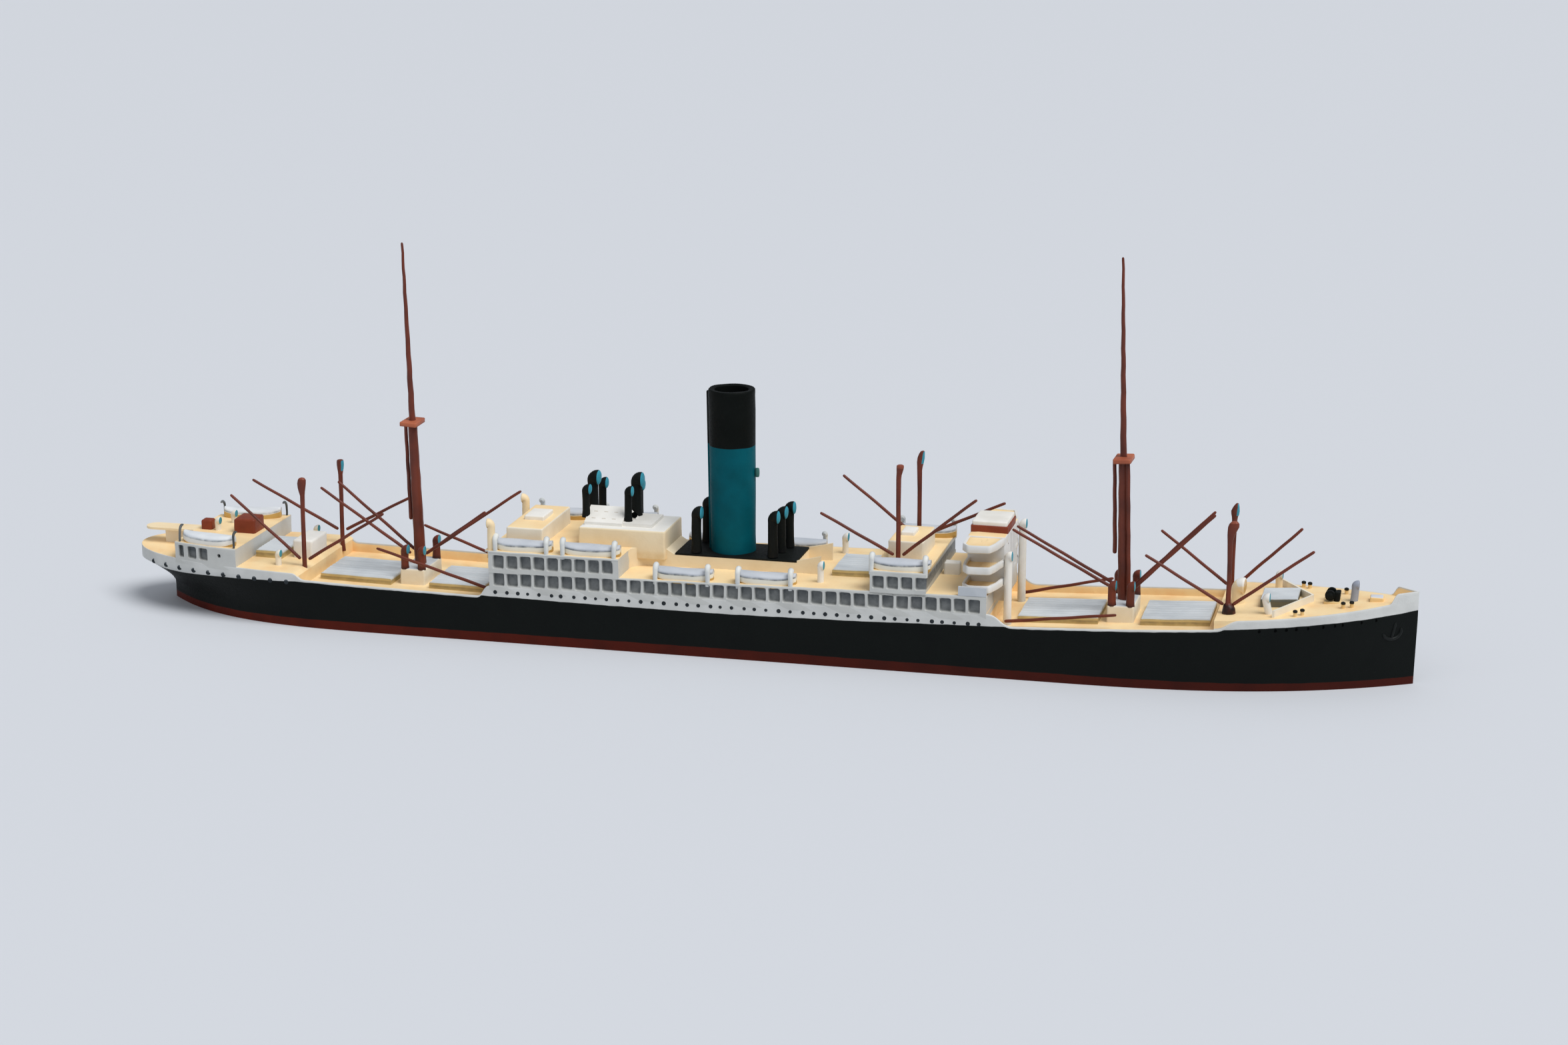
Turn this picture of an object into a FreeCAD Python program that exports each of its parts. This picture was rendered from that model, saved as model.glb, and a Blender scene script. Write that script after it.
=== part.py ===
import FreeCAD, Part
import math
import os
from FreeCAD import Vector

# A waterline display miniature of a two-masted, single-funnel cargo liner, about 1:1250.
# Frame: +X runs forward, +Y to port, +Z up. The origin lies on the table, under the middle
# of the hull. All sizes are millimetres. The castings carry pegs that seat in sockets.

# Zones of the hull, from the stern to the bow; the overall length is their sum
POOP_LENGTH = 19.1
AFT_WELL_LENGTH = 19.4
MIDSHIP_LENGTH = 47.4
FORE_WELL_LENGTH = 20.5
FORECASTLE_LENGTH = 17.6
BEAM = 15.0

# Hull form
RUN_LENGTH = 32.0
ENTRANCE_LENGTH = 32.0
STERN_OVERHANG = 3.1
STEM_OVERHANG = 0.12
STERNPOST_HEIGHT = 1.6
KNUCKLE_Z = 4.5
COUNTER_HOLLOW = 1.3
FLARE_TOP_Z = 6.0
FORM_TOP_Z = 9.5
RUN_FULLNESS = 3.9
ENTRANCE_FULLNESS = 2.65
POOP_TAPER = 4.0
POOP_ROUNDNESS = 0.5
FORECASTLE_FULLNESS = 3.65
FORM_STATIONS = 36
COUNTER_LEVELS = 3

# Deck and rail heights
SHEER_LOW_Z = 4.3
SHEER_LOW_X = -8.0
SHEER_RISE_AFT = 0.96
SHEER_RISE_FORE = 2.7
POOP_DECK_Z = 5.3
POOP_DECK_RISE = 0.35
FORECASTLE_DECK_Z = 6.62
FORECASTLE_MID_RISE = 0.53
FORECASTLE_DECK_RISE = 1.4
STRAKE_AFT_Z = 5.45
STRAKE_FORE_Z = 5.97
BULWARK_THICKNESS = 0.28
AFT_BULWARK_HEIGHT = 0.95
FORE_BULWARK_HEIGHT = 0.75
BOW_RAIL_LENGTH = 2.6
BOW_RAIL_RAMP = 0.9
BOW_RAIL_Z = 8.67
SWEEP_LENGTH = 1.3
FORE_SWEEP_LENGTH = 2.4

# Places of the ventilators: along the ship from the deck's break or house, then across
POOP_COWLS = (2.9, 4.9)
POOP_ROOF_COWLS = ((2.3, -0.4), (2.7, 2.6))
CASING_COWLS_Y = 1.2
PORT_DECK_COWLS_Y = 3.8
AFT_DECK_COWLS = ((0.1, 0.6 - BEAM / 2), (0.2, 3.2))
PROMENADE_COWLS = (2.9, 5.3)
FORECASTLE_COWLS = (4.8, 4.1)
LARGE_COWL_PLACE = (1.4, -0.5)
BOW_COWL_AHEAD = 11.85
# Around the funnel: along the ship from its axis, and the share of the plate's half width
FUNNEL_COWLS = ((-3.1, -1), (-3.1, 1), (4.3, -1), (4.6, 0), (4.9, 1))

# Fit of the pegs
CLEARANCE = 0.03
PEG_DEPTH = 1.0
SHORT_PEG_DEPTH = 0.6
BLOCK_PEG_DIAMETER = 1.2
SMALL_PEG_DIAMETER = 0.4
PIN_DIAMETER = 0.22
PEG_ROOT = 0.2
PEG_EDGE = 2.0

# Midship house, its upper block and the windows
PROMENADE_AFT_Z = 6.85
PROMENADE_FORE_Z = 7.62
UPPER_HOUSE_LENGTH = 12.7
BOAT_DECK_Z = 8.88
DECK_EDGE = 0.15
DECK_EDGE_OVERHANG = 0.45
WINDOW_WIDTH = 0.9
WINDOW_HEIGHT = 1.2
WINDOW_PITCH = 1.334
WINDOW_DEPTH = 0.3
WINDOW_SILL = 0.06
FIRST_WINDOW = 0.48
LOWER_WINDOWS = 35
UPPER_WINDOWS = 9
OFFICERS_WINDOWS = 4
FIRST_OFFICERS_WINDOW = 0.31
PORTHOLE_DIAMETER = 0.32
PORTHOLE_DEPTH = 0.2
PORTHOLE_PITCH = 1.1
PORTHOLES = 43
PORTHOLE_AFT_Z = 4.9
PORTHOLE_FORE_Z = 4.99
STERN_SCUTTLES = 10
STERN_SCUTTLE_PITCH = 1.68
FIRST_SCUTTLE = 1.15
SCUTTLE_FORE_Z = 4.42
SCUTTLE_AFT_Z = 4.7
SCUTTLE_DIAMETER = 0.5

# Funnel and its casing
FUNNEL_CASING_LENGTH = 15.9
FUNNEL_CASING_WIDTH = 5.2
CASING_CORNER_RADIUS = 1.6
CASING_STEP_LENGTH = 1.0
CASING_LIP_Z = 8.3
FUNNEL_PLATE_LENGTH = 11.8
FUNNEL_PLATE_THICKNESS = 0.18
FUNNEL_FOOT_DIAMETER = 4.2
FUNNEL_TOP_DIAMETER = 4.45
FUNNEL_BORE = 3.1
FUNNEL_BORE_DEPTH = 3.0
FUNNEL_TOP_Z = 24.05
FUNNEL_AFT_OF_PLATE_FRONT = 6.75
FUNNEL_LEAN = 0.16
STEAM_PIPE_DIAMETER = 0.3
WHISTLE_DIAMETER = 0.42
WHISTLE_LENGTH = 0.9
WHISTLE_DROP = 8.4
WINDSCREEN_LENGTH = 2.3
WINDSCREEN_THICKNESS = 0.22

# Houses on the boat deck, given by length, width and height
AFT_DECKHOUSE_LENGTH = 3.6
AFT_DECKHOUSE_HEIGHT = 1.6
DECKHOUSE_PASSAGE = 0.9
AFT_DECKHOUSE_AHEAD = 2.55
AFT_SKYLIGHT = (2.0, 3.0, 0.45)
ENGINE_CASING = (8.5, 6.1, 1.7)
ENGINE_CASING_ABAFT_BREAK = 1.0
ENGINE_SKYLIGHT = (3.7, 4.4, 0.3)
ENGINE_SKYLIGHT_EDGE = 0.35
ENGINE_SKYLIGHT_RIDGE = 1.1
CASING_SLAB = (2.9, 4.0, 0.35)
COMPANION = (0.9, 1.1, 0.85)
OFFICERS_HOUSE_LENGTH = 5.2
OFFICERS_HOUSE_TOP_Z = 9.4
OFFICERS_HOUSE_AFT_OF_FRONT = 10.8
SIGNAL_HOUSE = (3.3, 5.9, 1.75)
SIGNAL_HOUSE_AHEAD = -0.2
SIGNAL_SKYLIGHT = (1.3, 2.1, 0.4)
SIGNAL_SKYLIGHT_ABAFT = 0.2
DECK_LOCKER = (1.5, 1.1, 1.15)
DECK_LOCKER_AHEAD = 1.1

# Bridge, its wings given by their heights and their ends by their set-backs in plan
TOWER_LENGTH = 3.5
TOWER_WIDTH = 7.2
TOWER_TOP_Z = 12.25
TOWER_AHEAD_OF_STRAKE = 1.0
BRIDGE_SCREEN_HEIGHT = 0.85
BRIDGE_SCREEN_LENGTH = 2.6
WHEELHOUSE_WIDTH = 4.4
WHEELHOUSE_HEIGHT = 0.62
WHEELHOUSE_ROOF_HEIGHT = 0.4
WHEELHOUSE_ROOF_SETBACK = 0.12
BRIDGE_WING_SPAN = 14.2
BRIDGE_WING_AFT_TAPER = 0.6
BRIDGE_WING_FORE_TAPER = 0.7
BRIDGE_WING_LEVELS = (7.75, 9.5, 11.5)
BRIDGE_WING_HEIGHT = 0.72
BRIDGE_WING_FLOOR_DROP = (0.5, 0.4, 0.06)

# Masts
MAST_RAKE = 0.031
MAST_HEEL_DIAMETER = 1.15
MAST_DIAMETER = 0.85
TOPMAST_DIAMETER = 0.6
TRUCK_DIAMETER = 0.24
FORE_MAST_TOP_Z = 37.9
MAIN_MAST_TOP_Z = 36.5
FORE_CROSSTREE_Z = 19.2
MAIN_CROSSTREE_Z = 18.9
CROSSTREE = (1.65, 2.7, 0.4)
FORE_MAST_AFT_OF_BREAK = 8.95
MAIN_MAST_AFT_OF_HOUSE = 9.55
MAST_HOUSE = (2.5, 5.0, 1.55)
MAST_PEG_DIAMETER = 0.8
MAST_PEG_DEPTH = 1.2
AFT_STOWED_BOOM_DIAMETER = 0.42
FORE_STOWED_BOOM_DIAMETER = 0.3
AFT_STOWED_BOOM = (-0.88, 0.35)
FORE_STOWED_BOOM = (0.5, -0.62)
AFT_STOWED_BOOM_HEEL = 4.2
FORE_STOWED_BOOM_HEEL = 0.3

# Kingposts: half their spread, then for the starboard post and the port post its shift
# along the ship, its height and the height at which its derricks are heeled
KINGPOST_DIAMETER = 0.46
KINGPOST_HEAD = 0.75
AFT_KINGPOSTS = (4.5, (0.0, 8.8, 0.7), (0.35, 8.5, 1.4))
MIDSHIP_KINGPOSTS = (3.7, (-0.65, 9.15, 0.6), (-0.15, 8.8, 0.6))
FORE_KINGPOSTS = (4.1, (0.0, 8.55, 0.8), (-0.45, 8.2, 0.4))
AFT_KINGPOSTS_AFT_OF_BREAK = 0.35
MIDSHIP_KINGPOSTS_AHEAD = 2.5
FORE_KINGPOSTS_AHEAD = 0.95

# Derricks, each given by its length and its lift in degrees. Each kingpost has one lying
# aft and one lying forward, and each mast has one of each on either side.
DERRICK_DIAMETER = 0.3
DERRICK_STANDOFF = 0.04
AFT_KINGPOST_DERRICKS = (((9.2, 40.4), (9.3, 32.7)), ((10.0, 26.8), (7.7, 28.5)))
MIDSHIP_KINGPOST_DERRICKS = (((7.8, 27.3), (8.9, 39.6)), ((8.8, 38.0), (8.6, 25.0)))
FORE_KINGPOST_DERRICKS = (((8.3, 29.9), (8.9, 37.6)), ((7.9, 37.5), (8.2, 44.5)))
MAIN_MAST_DERRICKS = (((10.9, 33.4), (12.0, 35.0)), ((10.1, 39.1), (7.1, 36.4)))
FORE_MAST_DERRICKS = (((10.9, 27.8), (10.6, 45.6)), ((10.7, 28.2), (10.5, 46.0)))
MAST_DERRICK_SPREAD = 0.66
MAST_DERRICK_HEEL_HEIGHT = 1.1
LOW_AFT_DERRICKS = ((11.8, 15.1), (10.3, 18.3))
LOW_FORE_DERRICKS = ((10.1, 6.6), (8.6, 12.1))
LOW_DERRICK_SPREAD = (4.4, 5.0)
LOW_DERRICK_HEEL_HEIGHT = (1.0, 0.7)
LOW_DERRICK_POST = 0.5

# Hatches, the small ones given by length, width and height
HATCH_WIDTH = 6.4
HATCH_HEIGHT = 0.6
HATCH_GAP = 0.7
HATCH_HOUSE_GAP = 2.1
HATCH_TOWER_GAP = 1.2
FORECASTLE_HATCH = (3.3, 4.0, 0.75)
POOP_HATCH = (2.7, 5.6, 0.7)
MIDSHIP_HATCH = (4.5, 5.9, 0.6)
FORECASTLE_HATCH_AHEAD = 5.3

# Boats and davits
BOAT_LENGTH = 5.7
BOAT_BEAM = 1.9
BOAT_HEIGHT = 1.0
BOAT_KEEL_RISE = 0.3
BOAT_END_BREADTH = 0.3
BOAT_OFF_SIDE = 0.25
BOAT_KEEL_GAP = 0.05
DAVIT_DIAMETER = 0.42
DAVIT_HEIGHT = 1.4
DAVIT_REACH = 0.9
DAVIT_SPREAD = 5.0
BOATS_ALONG_UPPER_HOUSE = (3.1, 9.7)
BOATS_ALONG_PROMENADE = (6.0, 13.9)

# Poop fittings
POOP_HOUSE_LENGTH = 6.9
POOP_HOUSE_AFT_OF_BREAK = 6.45
POOP_HOUSE_TOP_Z = 7.18
DOCKING_BRIDGE_WIDTH = 2.0
DOCKING_BRIDGE_LENGTH = 5.4
DOCKING_BRIDGE_THICKNESS = 0.22
DOCKING_TRUNK = (2.5, 0.7)
DOCKING_TRUNK_AHEAD = 2.0
WINCH_HOUSE = (2.0, 4.0, 1.8)
WINCH_HOUSE_AFT_OF_BREAK = 1.6
STEERING_BOX = (1.15, 1.1, 0.95)
STEERING_BOX_AHEAD = 1.1
GALLEY_BOX = (2.2, 2.5, 1.4)
GALLEY_BOX_ABAFT = 1.6
POOP_BOAT_TOE_DEGREES = 10.0
POOP_BOAT_AHEAD = 0.1

# Cowl ventilators, given by diameter, height and mouth diameter
SKYLIGHT_COWL = (0.72, 3.4, 1.0)
LARGE_CASING_COWL = (0.95, 4.2, 1.45)
PORT_DECK_COWL = (0.7, 4.9, 1.1)
FUNNEL_COWL = (1.0, 4.5, 1.25)
AFT_DECK_COWL = (0.75, 2.95, 0.95)
PROMENADE_COWL = (0.62, 2.0, 0.85)
BRIDGE_COWL = (0.75, 6.9, 0.95)
PORT_BRIDGE_COWL_RISE = 1.1
MAST_HOUSE_COWL = (0.8, 2.3, 0.95)
POOP_COWL = (0.55, 1.5, 0.75)
POOP_ROOF_COWL = (0.5, 1.3, 0.75)
FORECASTLE_COWL = (0.7, 1.9, 0.9)
LARGE_FORECASTLE_COWL = (1.0, 2.3, 1.3)
BOW_COWL = (0.75, 1.8, 0.8)

# Forecastle fittings
BREAKWATER_AHEAD = 8.3
BREAKWATER_LENGTH = 3.1
BREAKWATER_SPREAD = 10.8
BREAKWATER_HEIGHT = 0.65
BREAKWATER_THICKNESS = 0.22
WINDLASS = (1.5, 2.2, 0.25)
WINDLASS_AHEAD = 9.95
WINDLASS_DRUM = 0.95
WINDLASS_BARREL = 0.52
BOLLARD_DIAMETER = 0.36
BOLLARD_HEIGHT = 0.6
BOLLARD_PLACES = ((7.0, 4.95), (7.6, 4.55), (11.05, 2.4), (11.8, 2.2))
BOW_LOCKER = (1.25, 1.2, 0.4)
BOW_LOCKER_AHEAD = 13.9
ANCHOR_DIAMETER = 1.5
ANCHOR_RELIEF = 0.12
ANCHOR_DEPTH = 0.6
ANCHOR_AFT_OF_BOW = 2.2
ANCHOR_Z = 5.2

# Places along the hull that follow from the zones
LENGTH = POOP_LENGTH + AFT_WELL_LENGTH + MIDSHIP_LENGTH + FORE_WELL_LENGTH + FORECASTLE_LENGTH
STERN_X = -LENGTH / 2
BOW_X = LENGTH / 2
POOP_BREAK_X = STERN_X + POOP_LENGTH
HOUSE_AFT_X = POOP_BREAK_X + AFT_WELL_LENGTH
HOUSE_FORE_X = HOUSE_AFT_X + MIDSHIP_LENGTH
FORECASTLE_BREAK_X = HOUSE_FORE_X + FORE_WELL_LENGTH
HALF_BEAM = BEAM / 2
AFT_DECKHOUSE_WIDTH = BEAM - 2 * (BOAT_OFF_SIDE + BOAT_BEAM + DECKHOUSE_PASSAGE)
AFT_DECKHOUSE = (AFT_DECKHOUSE_LENGTH, AFT_DECKHOUSE_WIDTH, AFT_DECKHOUSE_HEIGHT)
UPPER_HOUSE_FORE_X = HOUSE_AFT_X + UPPER_HOUSE_LENGTH
CASING_FORE_X = UPPER_HOUSE_FORE_X + FUNNEL_CASING_LENGTH
PLATE_Z = CASING_LIP_Z + FUNNEL_PLATE_THICKNESS
FUNNEL_X = CASING_FORE_X - FUNNEL_AFT_OF_PLATE_FRONT
CASING_X = UPPER_HOUSE_FORE_X - ENGINE_CASING_ABAFT_BREAK
CASING_TOP_Z = BOAT_DECK_Z + ENGINE_CASING[2]
SKYLIGHT_AFT_X = CASING_X - ENGINE_CASING[0] / 2 + ENGINE_SKYLIGHT_EDGE
SKYLIGHT_FORE_X = SKYLIGHT_AFT_X + ENGINE_SKYLIGHT[0]
OFFICERS_AFT_X = HOUSE_FORE_X - OFFICERS_HOUSE_AFT_OF_FRONT
OFFICERS_FORE_X = OFFICERS_AFT_X + OFFICERS_HOUSE_LENGTH
OFFICERS_X = (OFFICERS_AFT_X + OFFICERS_FORE_X) / 2
TOWER_FORE_X = HOUSE_FORE_X + TOWER_AHEAD_OF_STRAKE
TOWER_AFT_X = TOWER_FORE_X - TOWER_LENGTH
FORE_MAST_X = FORECASTLE_BREAK_X - FORE_MAST_AFT_OF_BREAK
MAIN_MAST_X = HOUSE_AFT_X - MAIN_MAST_AFT_OF_HOUSE
POOP_HOUSE_FORE_X = POOP_BREAK_X - POOP_HOUSE_AFT_OF_BREAK
POOP_HOUSE_AFT_X = POOP_HOUSE_FORE_X - POOP_HOUSE_LENGTH
FAR = 90.0

parts = {}
sockets = {}


def box(x0, x1, y0, y1, z0, z1):
    return Part.makeBox(x1 - x0, y1 - y0, z1 - z0, Vector(x0, y0, z0))


def block(x, size, z, y=0.0):
    """A block of the given length, width and height, centred on x and y, standing at z."""
    length, width, height = size
    return box(x - length / 2, x + length / 2, y - width / 2, y + width / 2, z, z + height)


def rod(start, end, d0, d1=None):
    """A round bar between two points, tapered when a second diameter is given."""
    axis = end - start
    if d1 is None or d1 == d0:
        return Part.makeCylinder(d0 / 2, axis.Length, start, axis)
    return Part.makeCone(d0 / 2, d1 / 2, axis.Length, start, axis)


def side_prism(edges, y0=-FAR, y1=FAR):
    """Closed side-view edges in the XZ plane, drawn out across the ship."""
    face = Part.Face(Part.Wire(edges))
    face.translate(Vector(0, y0, 0))
    return face.extrude(Vector(0, y1 - y0, 0))


def side_polygon(points, y0=-FAR, y1=FAR):
    corners = [Vector(x, 0, z) for x, z in points]
    return side_prism(Part.makePolygon(corners + corners[:1]).Edges, y0, y1)


def plan_polygon(points, z0, z1):
    corners = [Vector(x, y, z0) for x, y in points]
    return Part.Face(Part.makePolygon(corners + corners[:1])).extrude(Vector(0, 0, z1 - z0))


def line(x0, z0, x1, z1):
    return Part.makeLine(Vector(x0, 0, z0), Vector(x1, 0, z1))


def sweep(x0, z0, x1, z1):
    """A rail that eases from one height to another, level at both ends."""
    middle = (x0 + x1) / 2
    poles = [Vector(x0, 0, z0), Vector(middle, 0, z0), Vector(middle, 0, z1), Vector(x1, 0, z1)]
    curve = Part.BezierCurve()
    curve.setPoles(poles)
    return curve.toShape()


def height_curve(x0, x1, height, spans=6):
    """A smooth side-view curve through the heights that a function gives."""
    xs = [x0 + (x1 - x0) * i / spans for i in range(spans + 1)]
    curve = Part.BSplineCurve()
    curve.interpolate([Vector(x, 0, height(x)) for x in xs])
    return curve.toShape()


def under(height, x0=STERN_X - 1, x1=BOW_X + 1):
    """All the space below a deck, from which the castings that stand on it are trimmed."""
    top = height_curve(x0, x1, height, 24 if x1 - x0 > BEAM else 4)
    sides = [line(x1, height(x1), x1, -FAR), line(x1, -FAR, x0, -FAR), line(x0, -FAR, x0, height(x0))]
    return side_prism([top] + sides)


def sheer(x):
    """Height of the main rail: a shallow parabola on each side of its lowest point."""
    if x < SHEER_LOW_X:
        return SHEER_LOW_Z + SHEER_RISE_AFT * ((x - SHEER_LOW_X) / (STERN_X - SHEER_LOW_X)) ** 2
    return SHEER_LOW_Z + SHEER_RISE_FORE * ((x - SHEER_LOW_X) / (BOW_X - SHEER_LOW_X)) ** 2


def main_deck(x):
    return sheer(x) - (AFT_BULWARK_HEIGHT if x < 0 else FORE_BULWARK_HEIGHT)


def poop_deck(x):
    return POOP_DECK_Z + POOP_DECK_RISE * (POOP_BREAK_X - x) / POOP_LENGTH


def forecastle_deck(x):
    """A parabola through the deck's heights at the break, half way and at the bow."""
    t = (x - FORECASTLE_BREAK_X) / FORECASTLE_LENGTH
    bend = 2 * FORECASTLE_DECK_RISE - 4 * FORECASTLE_MID_RISE
    return FORECASTLE_DECK_Z + (FORECASTLE_DECK_RISE - bend) * t + bend * t * t


def along_house(x, aft, fore):
    return aft + (fore - aft) * (x - HOUSE_AFT_X) / MIDSHIP_LENGTH


def strake(x):
    return along_house(x, STRAKE_AFT_Z, STRAKE_FORE_Z)


def promenade(x):
    return along_house(x, PROMENADE_AFT_Z, PROMENADE_FORE_Z)


def boat_deck(_):
    return BOAT_DECK_Z


def fullness(z):
    """How far the stern and the bow have filled out at a height, from waterline to deck.

    The stern keeps its waterline shape up to the sternpost's head and hollows out above it.
    """
    counter = min(1.0, max(0.0, z - STERNPOST_HEIGHT) / (KNUCKLE_Z - STERNPOST_HEIGHT))
    return counter ** COUNTER_HOLLOW, min(1.0, z / FLARE_TOP_Z)


def ends(z, inset):
    aft, fore = fullness(z)
    x0 = STERN_X + inset + STERN_OVERHANG * (1 - aft)
    return x0, BOW_X - 2 * inset - STEM_OVERHANG * (1 - fore)


def half_breadth(x, z, inset=0.0):
    """Half the width of the hull at a station and a height."""
    x0, x1 = ends(z, inset)
    aft, fore = fullness(z)
    run_start, entrance_start = STERN_X + RUN_LENGTH, BOW_X - ENTRANCE_LENGTH
    share = 1.0
    if x < run_start:
        t = min(1.0, (run_start - x) / (run_start - x0))
        low, high = 1 - t ** RUN_FULLNESS, (1 - t ** POOP_TAPER) ** POOP_ROUNDNESS
        share = low + (high - low) * aft
    if x > entrance_start:
        t = min(1.0, (x - entrance_start) / (x1 - entrance_start))
        low, high = 1 - t ** ENTRANCE_FULLNESS, 1 - t ** FORECASTLE_FULLNESS
        share = low + (high - low) * fore
    return (HALF_BEAM - inset) * share


def form_wire(z, inset):
    """One closed waterplane of the hull form, its points crowded towards both ends."""
    x0, x1 = ends(z, inset)
    turns = [math.pi * i / FORM_STATIONS for i in range(FORM_STATIONS + 1)]
    xs = [x0 + (x1 - x0) * (1 - math.cos(turn)) / 2 for turn in turns]
    breadths = [0.0] + [half_breadth(x, z, inset) for x in xs[1:-1]] + [0.0]
    edges = []
    for side in (-1, 1):
        curve = Part.BSplineCurve()
        curve.interpolate([Vector(x, side * y, z) for x, y in zip(xs, breadths)])
        edges.append(curve.toShape())
    return Part.Wire(edges)


def hull_form(inset=0.0):
    rise = (KNUCKLE_Z - STERNPOST_HEIGHT) / COUNTER_LEVELS
    counter = [STERNPOST_HEIGHT + rise * i for i in range(COUNTER_LEVELS + 1)]
    levels = [0.0] + counter + [FLARE_TOP_Z, FORM_TOP_Z]
    return Part.makeLoft([form_wire(z, inset) for z in levels], True, True)


def add(name, solids):
    """Keep one node: a solid, or a group of separate solids."""
    parts.setdefault(name, []).extend(solids if isinstance(solids, list) else [solids])


def socket(carrier, x, y, z0, z1, diameter):
    sockets.setdefault(carrier, []).append(rod(Vector(x, y, z0), Vector(x, y, z1), diameter + 2 * CLEARANCE))


def pegged(solid, carrier, spots, z, diameter=SMALL_PEG_DIAMETER, depth=PEG_DEPTH):
    """Give a casting its pegs, and the carrier the sockets that they seat in."""
    for x, y in spots:
        solid = solid.fuse(rod(Vector(x, y, z - depth), Vector(x, y, z + PEG_ROOT), diameter))
        socket(carrier, x, y, z - depth - CLEARANCE, z + PEG_ROOT, diameter)
    return solid.removeSplitter()


def seated(x, size, height, y=0.0, rise=None):
    """A block whose underside follows the deck it stands on."""
    length, width, depth = size
    top = (height(x) if rise is None else rise) + depth
    body = box(x - length / 2, x + length / 2, y - width / 2, y + width / 2, height(x) - depth, top)
    return body.cut(under(height, x - length, x + length))


def cowl(x, y, z, size, heading=0.0, drop=0.0):
    """A ventilator: a stem, an elbow and a mouth turned to a heading, on the deck at z."""
    diameter, height, mouth = size
    bend = Vector(x, y, z + height - mouth / 2)
    facing = Vector(math.cos(math.radians(heading)), math.sin(math.radians(heading)), 0)
    stem = rod(Vector(x, y, z - drop), bend, diameter)
    bell = rod(bend - facing * (diameter / 4), bend + facing * (mouth / 2), diameter, mouth)
    return stem.fuse([Part.makeSphere(diameter / 2, bend), bell]).removeSplitter()


def add_cowls(name, carrier, places, size, height, heading=0.0, depth=PEG_DEPTH):
    """A set of ventilators, each pegged into the deck whose height is given."""
    diameter = size[0]
    for x, y in places:
        z = height(x)
        body = cowl(x, y, z, size, heading, diameter / 4).cut(under(height, x - diameter, x + diameter))
        peg = min(SMALL_PEG_DIAMETER, diameter / 2)
        add(name, pegged(body, carrier, [(x, y)], z, peg, depth))


def mirrored(places):
    return [(x, side * y) for x, y in places for side in (-1, 1)]


def make_hull():
    waist_aft = POOP_BREAK_X + SWEEP_LENGTH / 2
    poop_end = waist_aft - SWEEP_LENGTH
    house_sweep = HOUSE_AFT_X - SWEEP_LENGTH
    fore_sweep = HOUSE_FORE_X + FORE_SWEEP_LENGTH
    break_sweep = FORECASTLE_BREAK_X + FORE_SWEEP_LENGTH
    rail_x = BOW_X - BOW_RAIL_LENGTH
    rail_top = rail_x + BOW_RAIL_RAMP
    abaft = STERN_X - STERN_OVERHANG
    profile = [
        line(abaft, 0, abaft, poop_deck(STERN_X)),
        line(abaft, poop_deck(STERN_X), poop_end, poop_deck(poop_end)),
        sweep(poop_end, poop_deck(poop_end), waist_aft, sheer(waist_aft)),
        height_curve(waist_aft, house_sweep, sheer),
        sweep(house_sweep, sheer(house_sweep), HOUSE_AFT_X, strake(HOUSE_AFT_X)),
        line(HOUSE_AFT_X, strake(HOUSE_AFT_X), HOUSE_FORE_X, strake(HOUSE_FORE_X)),
        sweep(HOUSE_FORE_X, strake(HOUSE_FORE_X), fore_sweep, sheer(fore_sweep)),
        height_curve(fore_sweep, FORECASTLE_BREAK_X, sheer),
        sweep(FORECASTLE_BREAK_X, sheer(FORECASTLE_BREAK_X), break_sweep, forecastle_deck(break_sweep)),
        height_curve(break_sweep, rail_x, forecastle_deck),
        sweep(rail_x, forecastle_deck(rail_x), rail_top, BOW_RAIL_Z),
        line(rail_top, BOW_RAIL_Z, BOW_X, BOW_RAIL_Z),
        line(BOW_X, BOW_RAIL_Z, BOW_X, 0),
        line(BOW_X, 0, abaft, 0),
    ]
    body = hull_form().common(side_prism(profile))
    inner = hull_form(BULWARK_THICKNESS)
    rooms = [
        (POOP_BREAK_X, HOUSE_AFT_X, main_deck),
        (HOUSE_FORE_X, FORECASTLE_BREAK_X, main_deck),
        (rail_x - BULWARK_THICKNESS, BOW_X, forecastle_deck),
    ]
    for x0, x1, height in rooms:
        sky = [line(x1, height(x1), x1, FAR), line(x1, FAR, x0, FAR), line(x0, FAR, x0, height(x0))]
        room = side_prism([height_curve(x0, x1, height)] + sky)
        body = body.cut(inner.common(room))
    # The corner of the forecastle stands up to deck height inside the sweep of the rail
    foot = main_deck(FORECASTLE_BREAK_X)
    corner = box(FORECASTLE_BREAK_X, break_sweep, -HALF_BEAM, HALF_BEAM, foot, BOW_RAIL_Z)
    body = body.fuse(corner.common(under(forecastle_deck)).common(inner)).removeSplitter()
    holes = []
    for side in (-1, 1):
        for i in range(PORTHOLES):
            x = HOUSE_AFT_X + (i + 0.5) * PORTHOLE_PITCH
            z = along_house(x, PORTHOLE_AFT_Z, PORTHOLE_FORE_Z)
            start = Vector(x, side * (HALF_BEAM - PORTHOLE_DEPTH), z)
            holes.append(rod(start, Vector(x, side * BEAM, z), PORTHOLE_DIAMETER))
        for i in range(STERN_SCUTTLES):
            x = POOP_BREAK_X - FIRST_SCUTTLE - i * STERN_SCUTTLE_PITCH
            z = SCUTTLE_FORE_Z + (SCUTTLE_AFT_Z - SCUTTLE_FORE_Z) * i / STERN_SCUTTLES
            start = Vector(x, side * (half_breadth(x, z) - PORTHOLE_DEPTH), z)
            holes.append(rod(start, Vector(x, side * BEAM, z), SCUTTLE_DIAMETER))
    add("hull", body.cut(holes))


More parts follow.
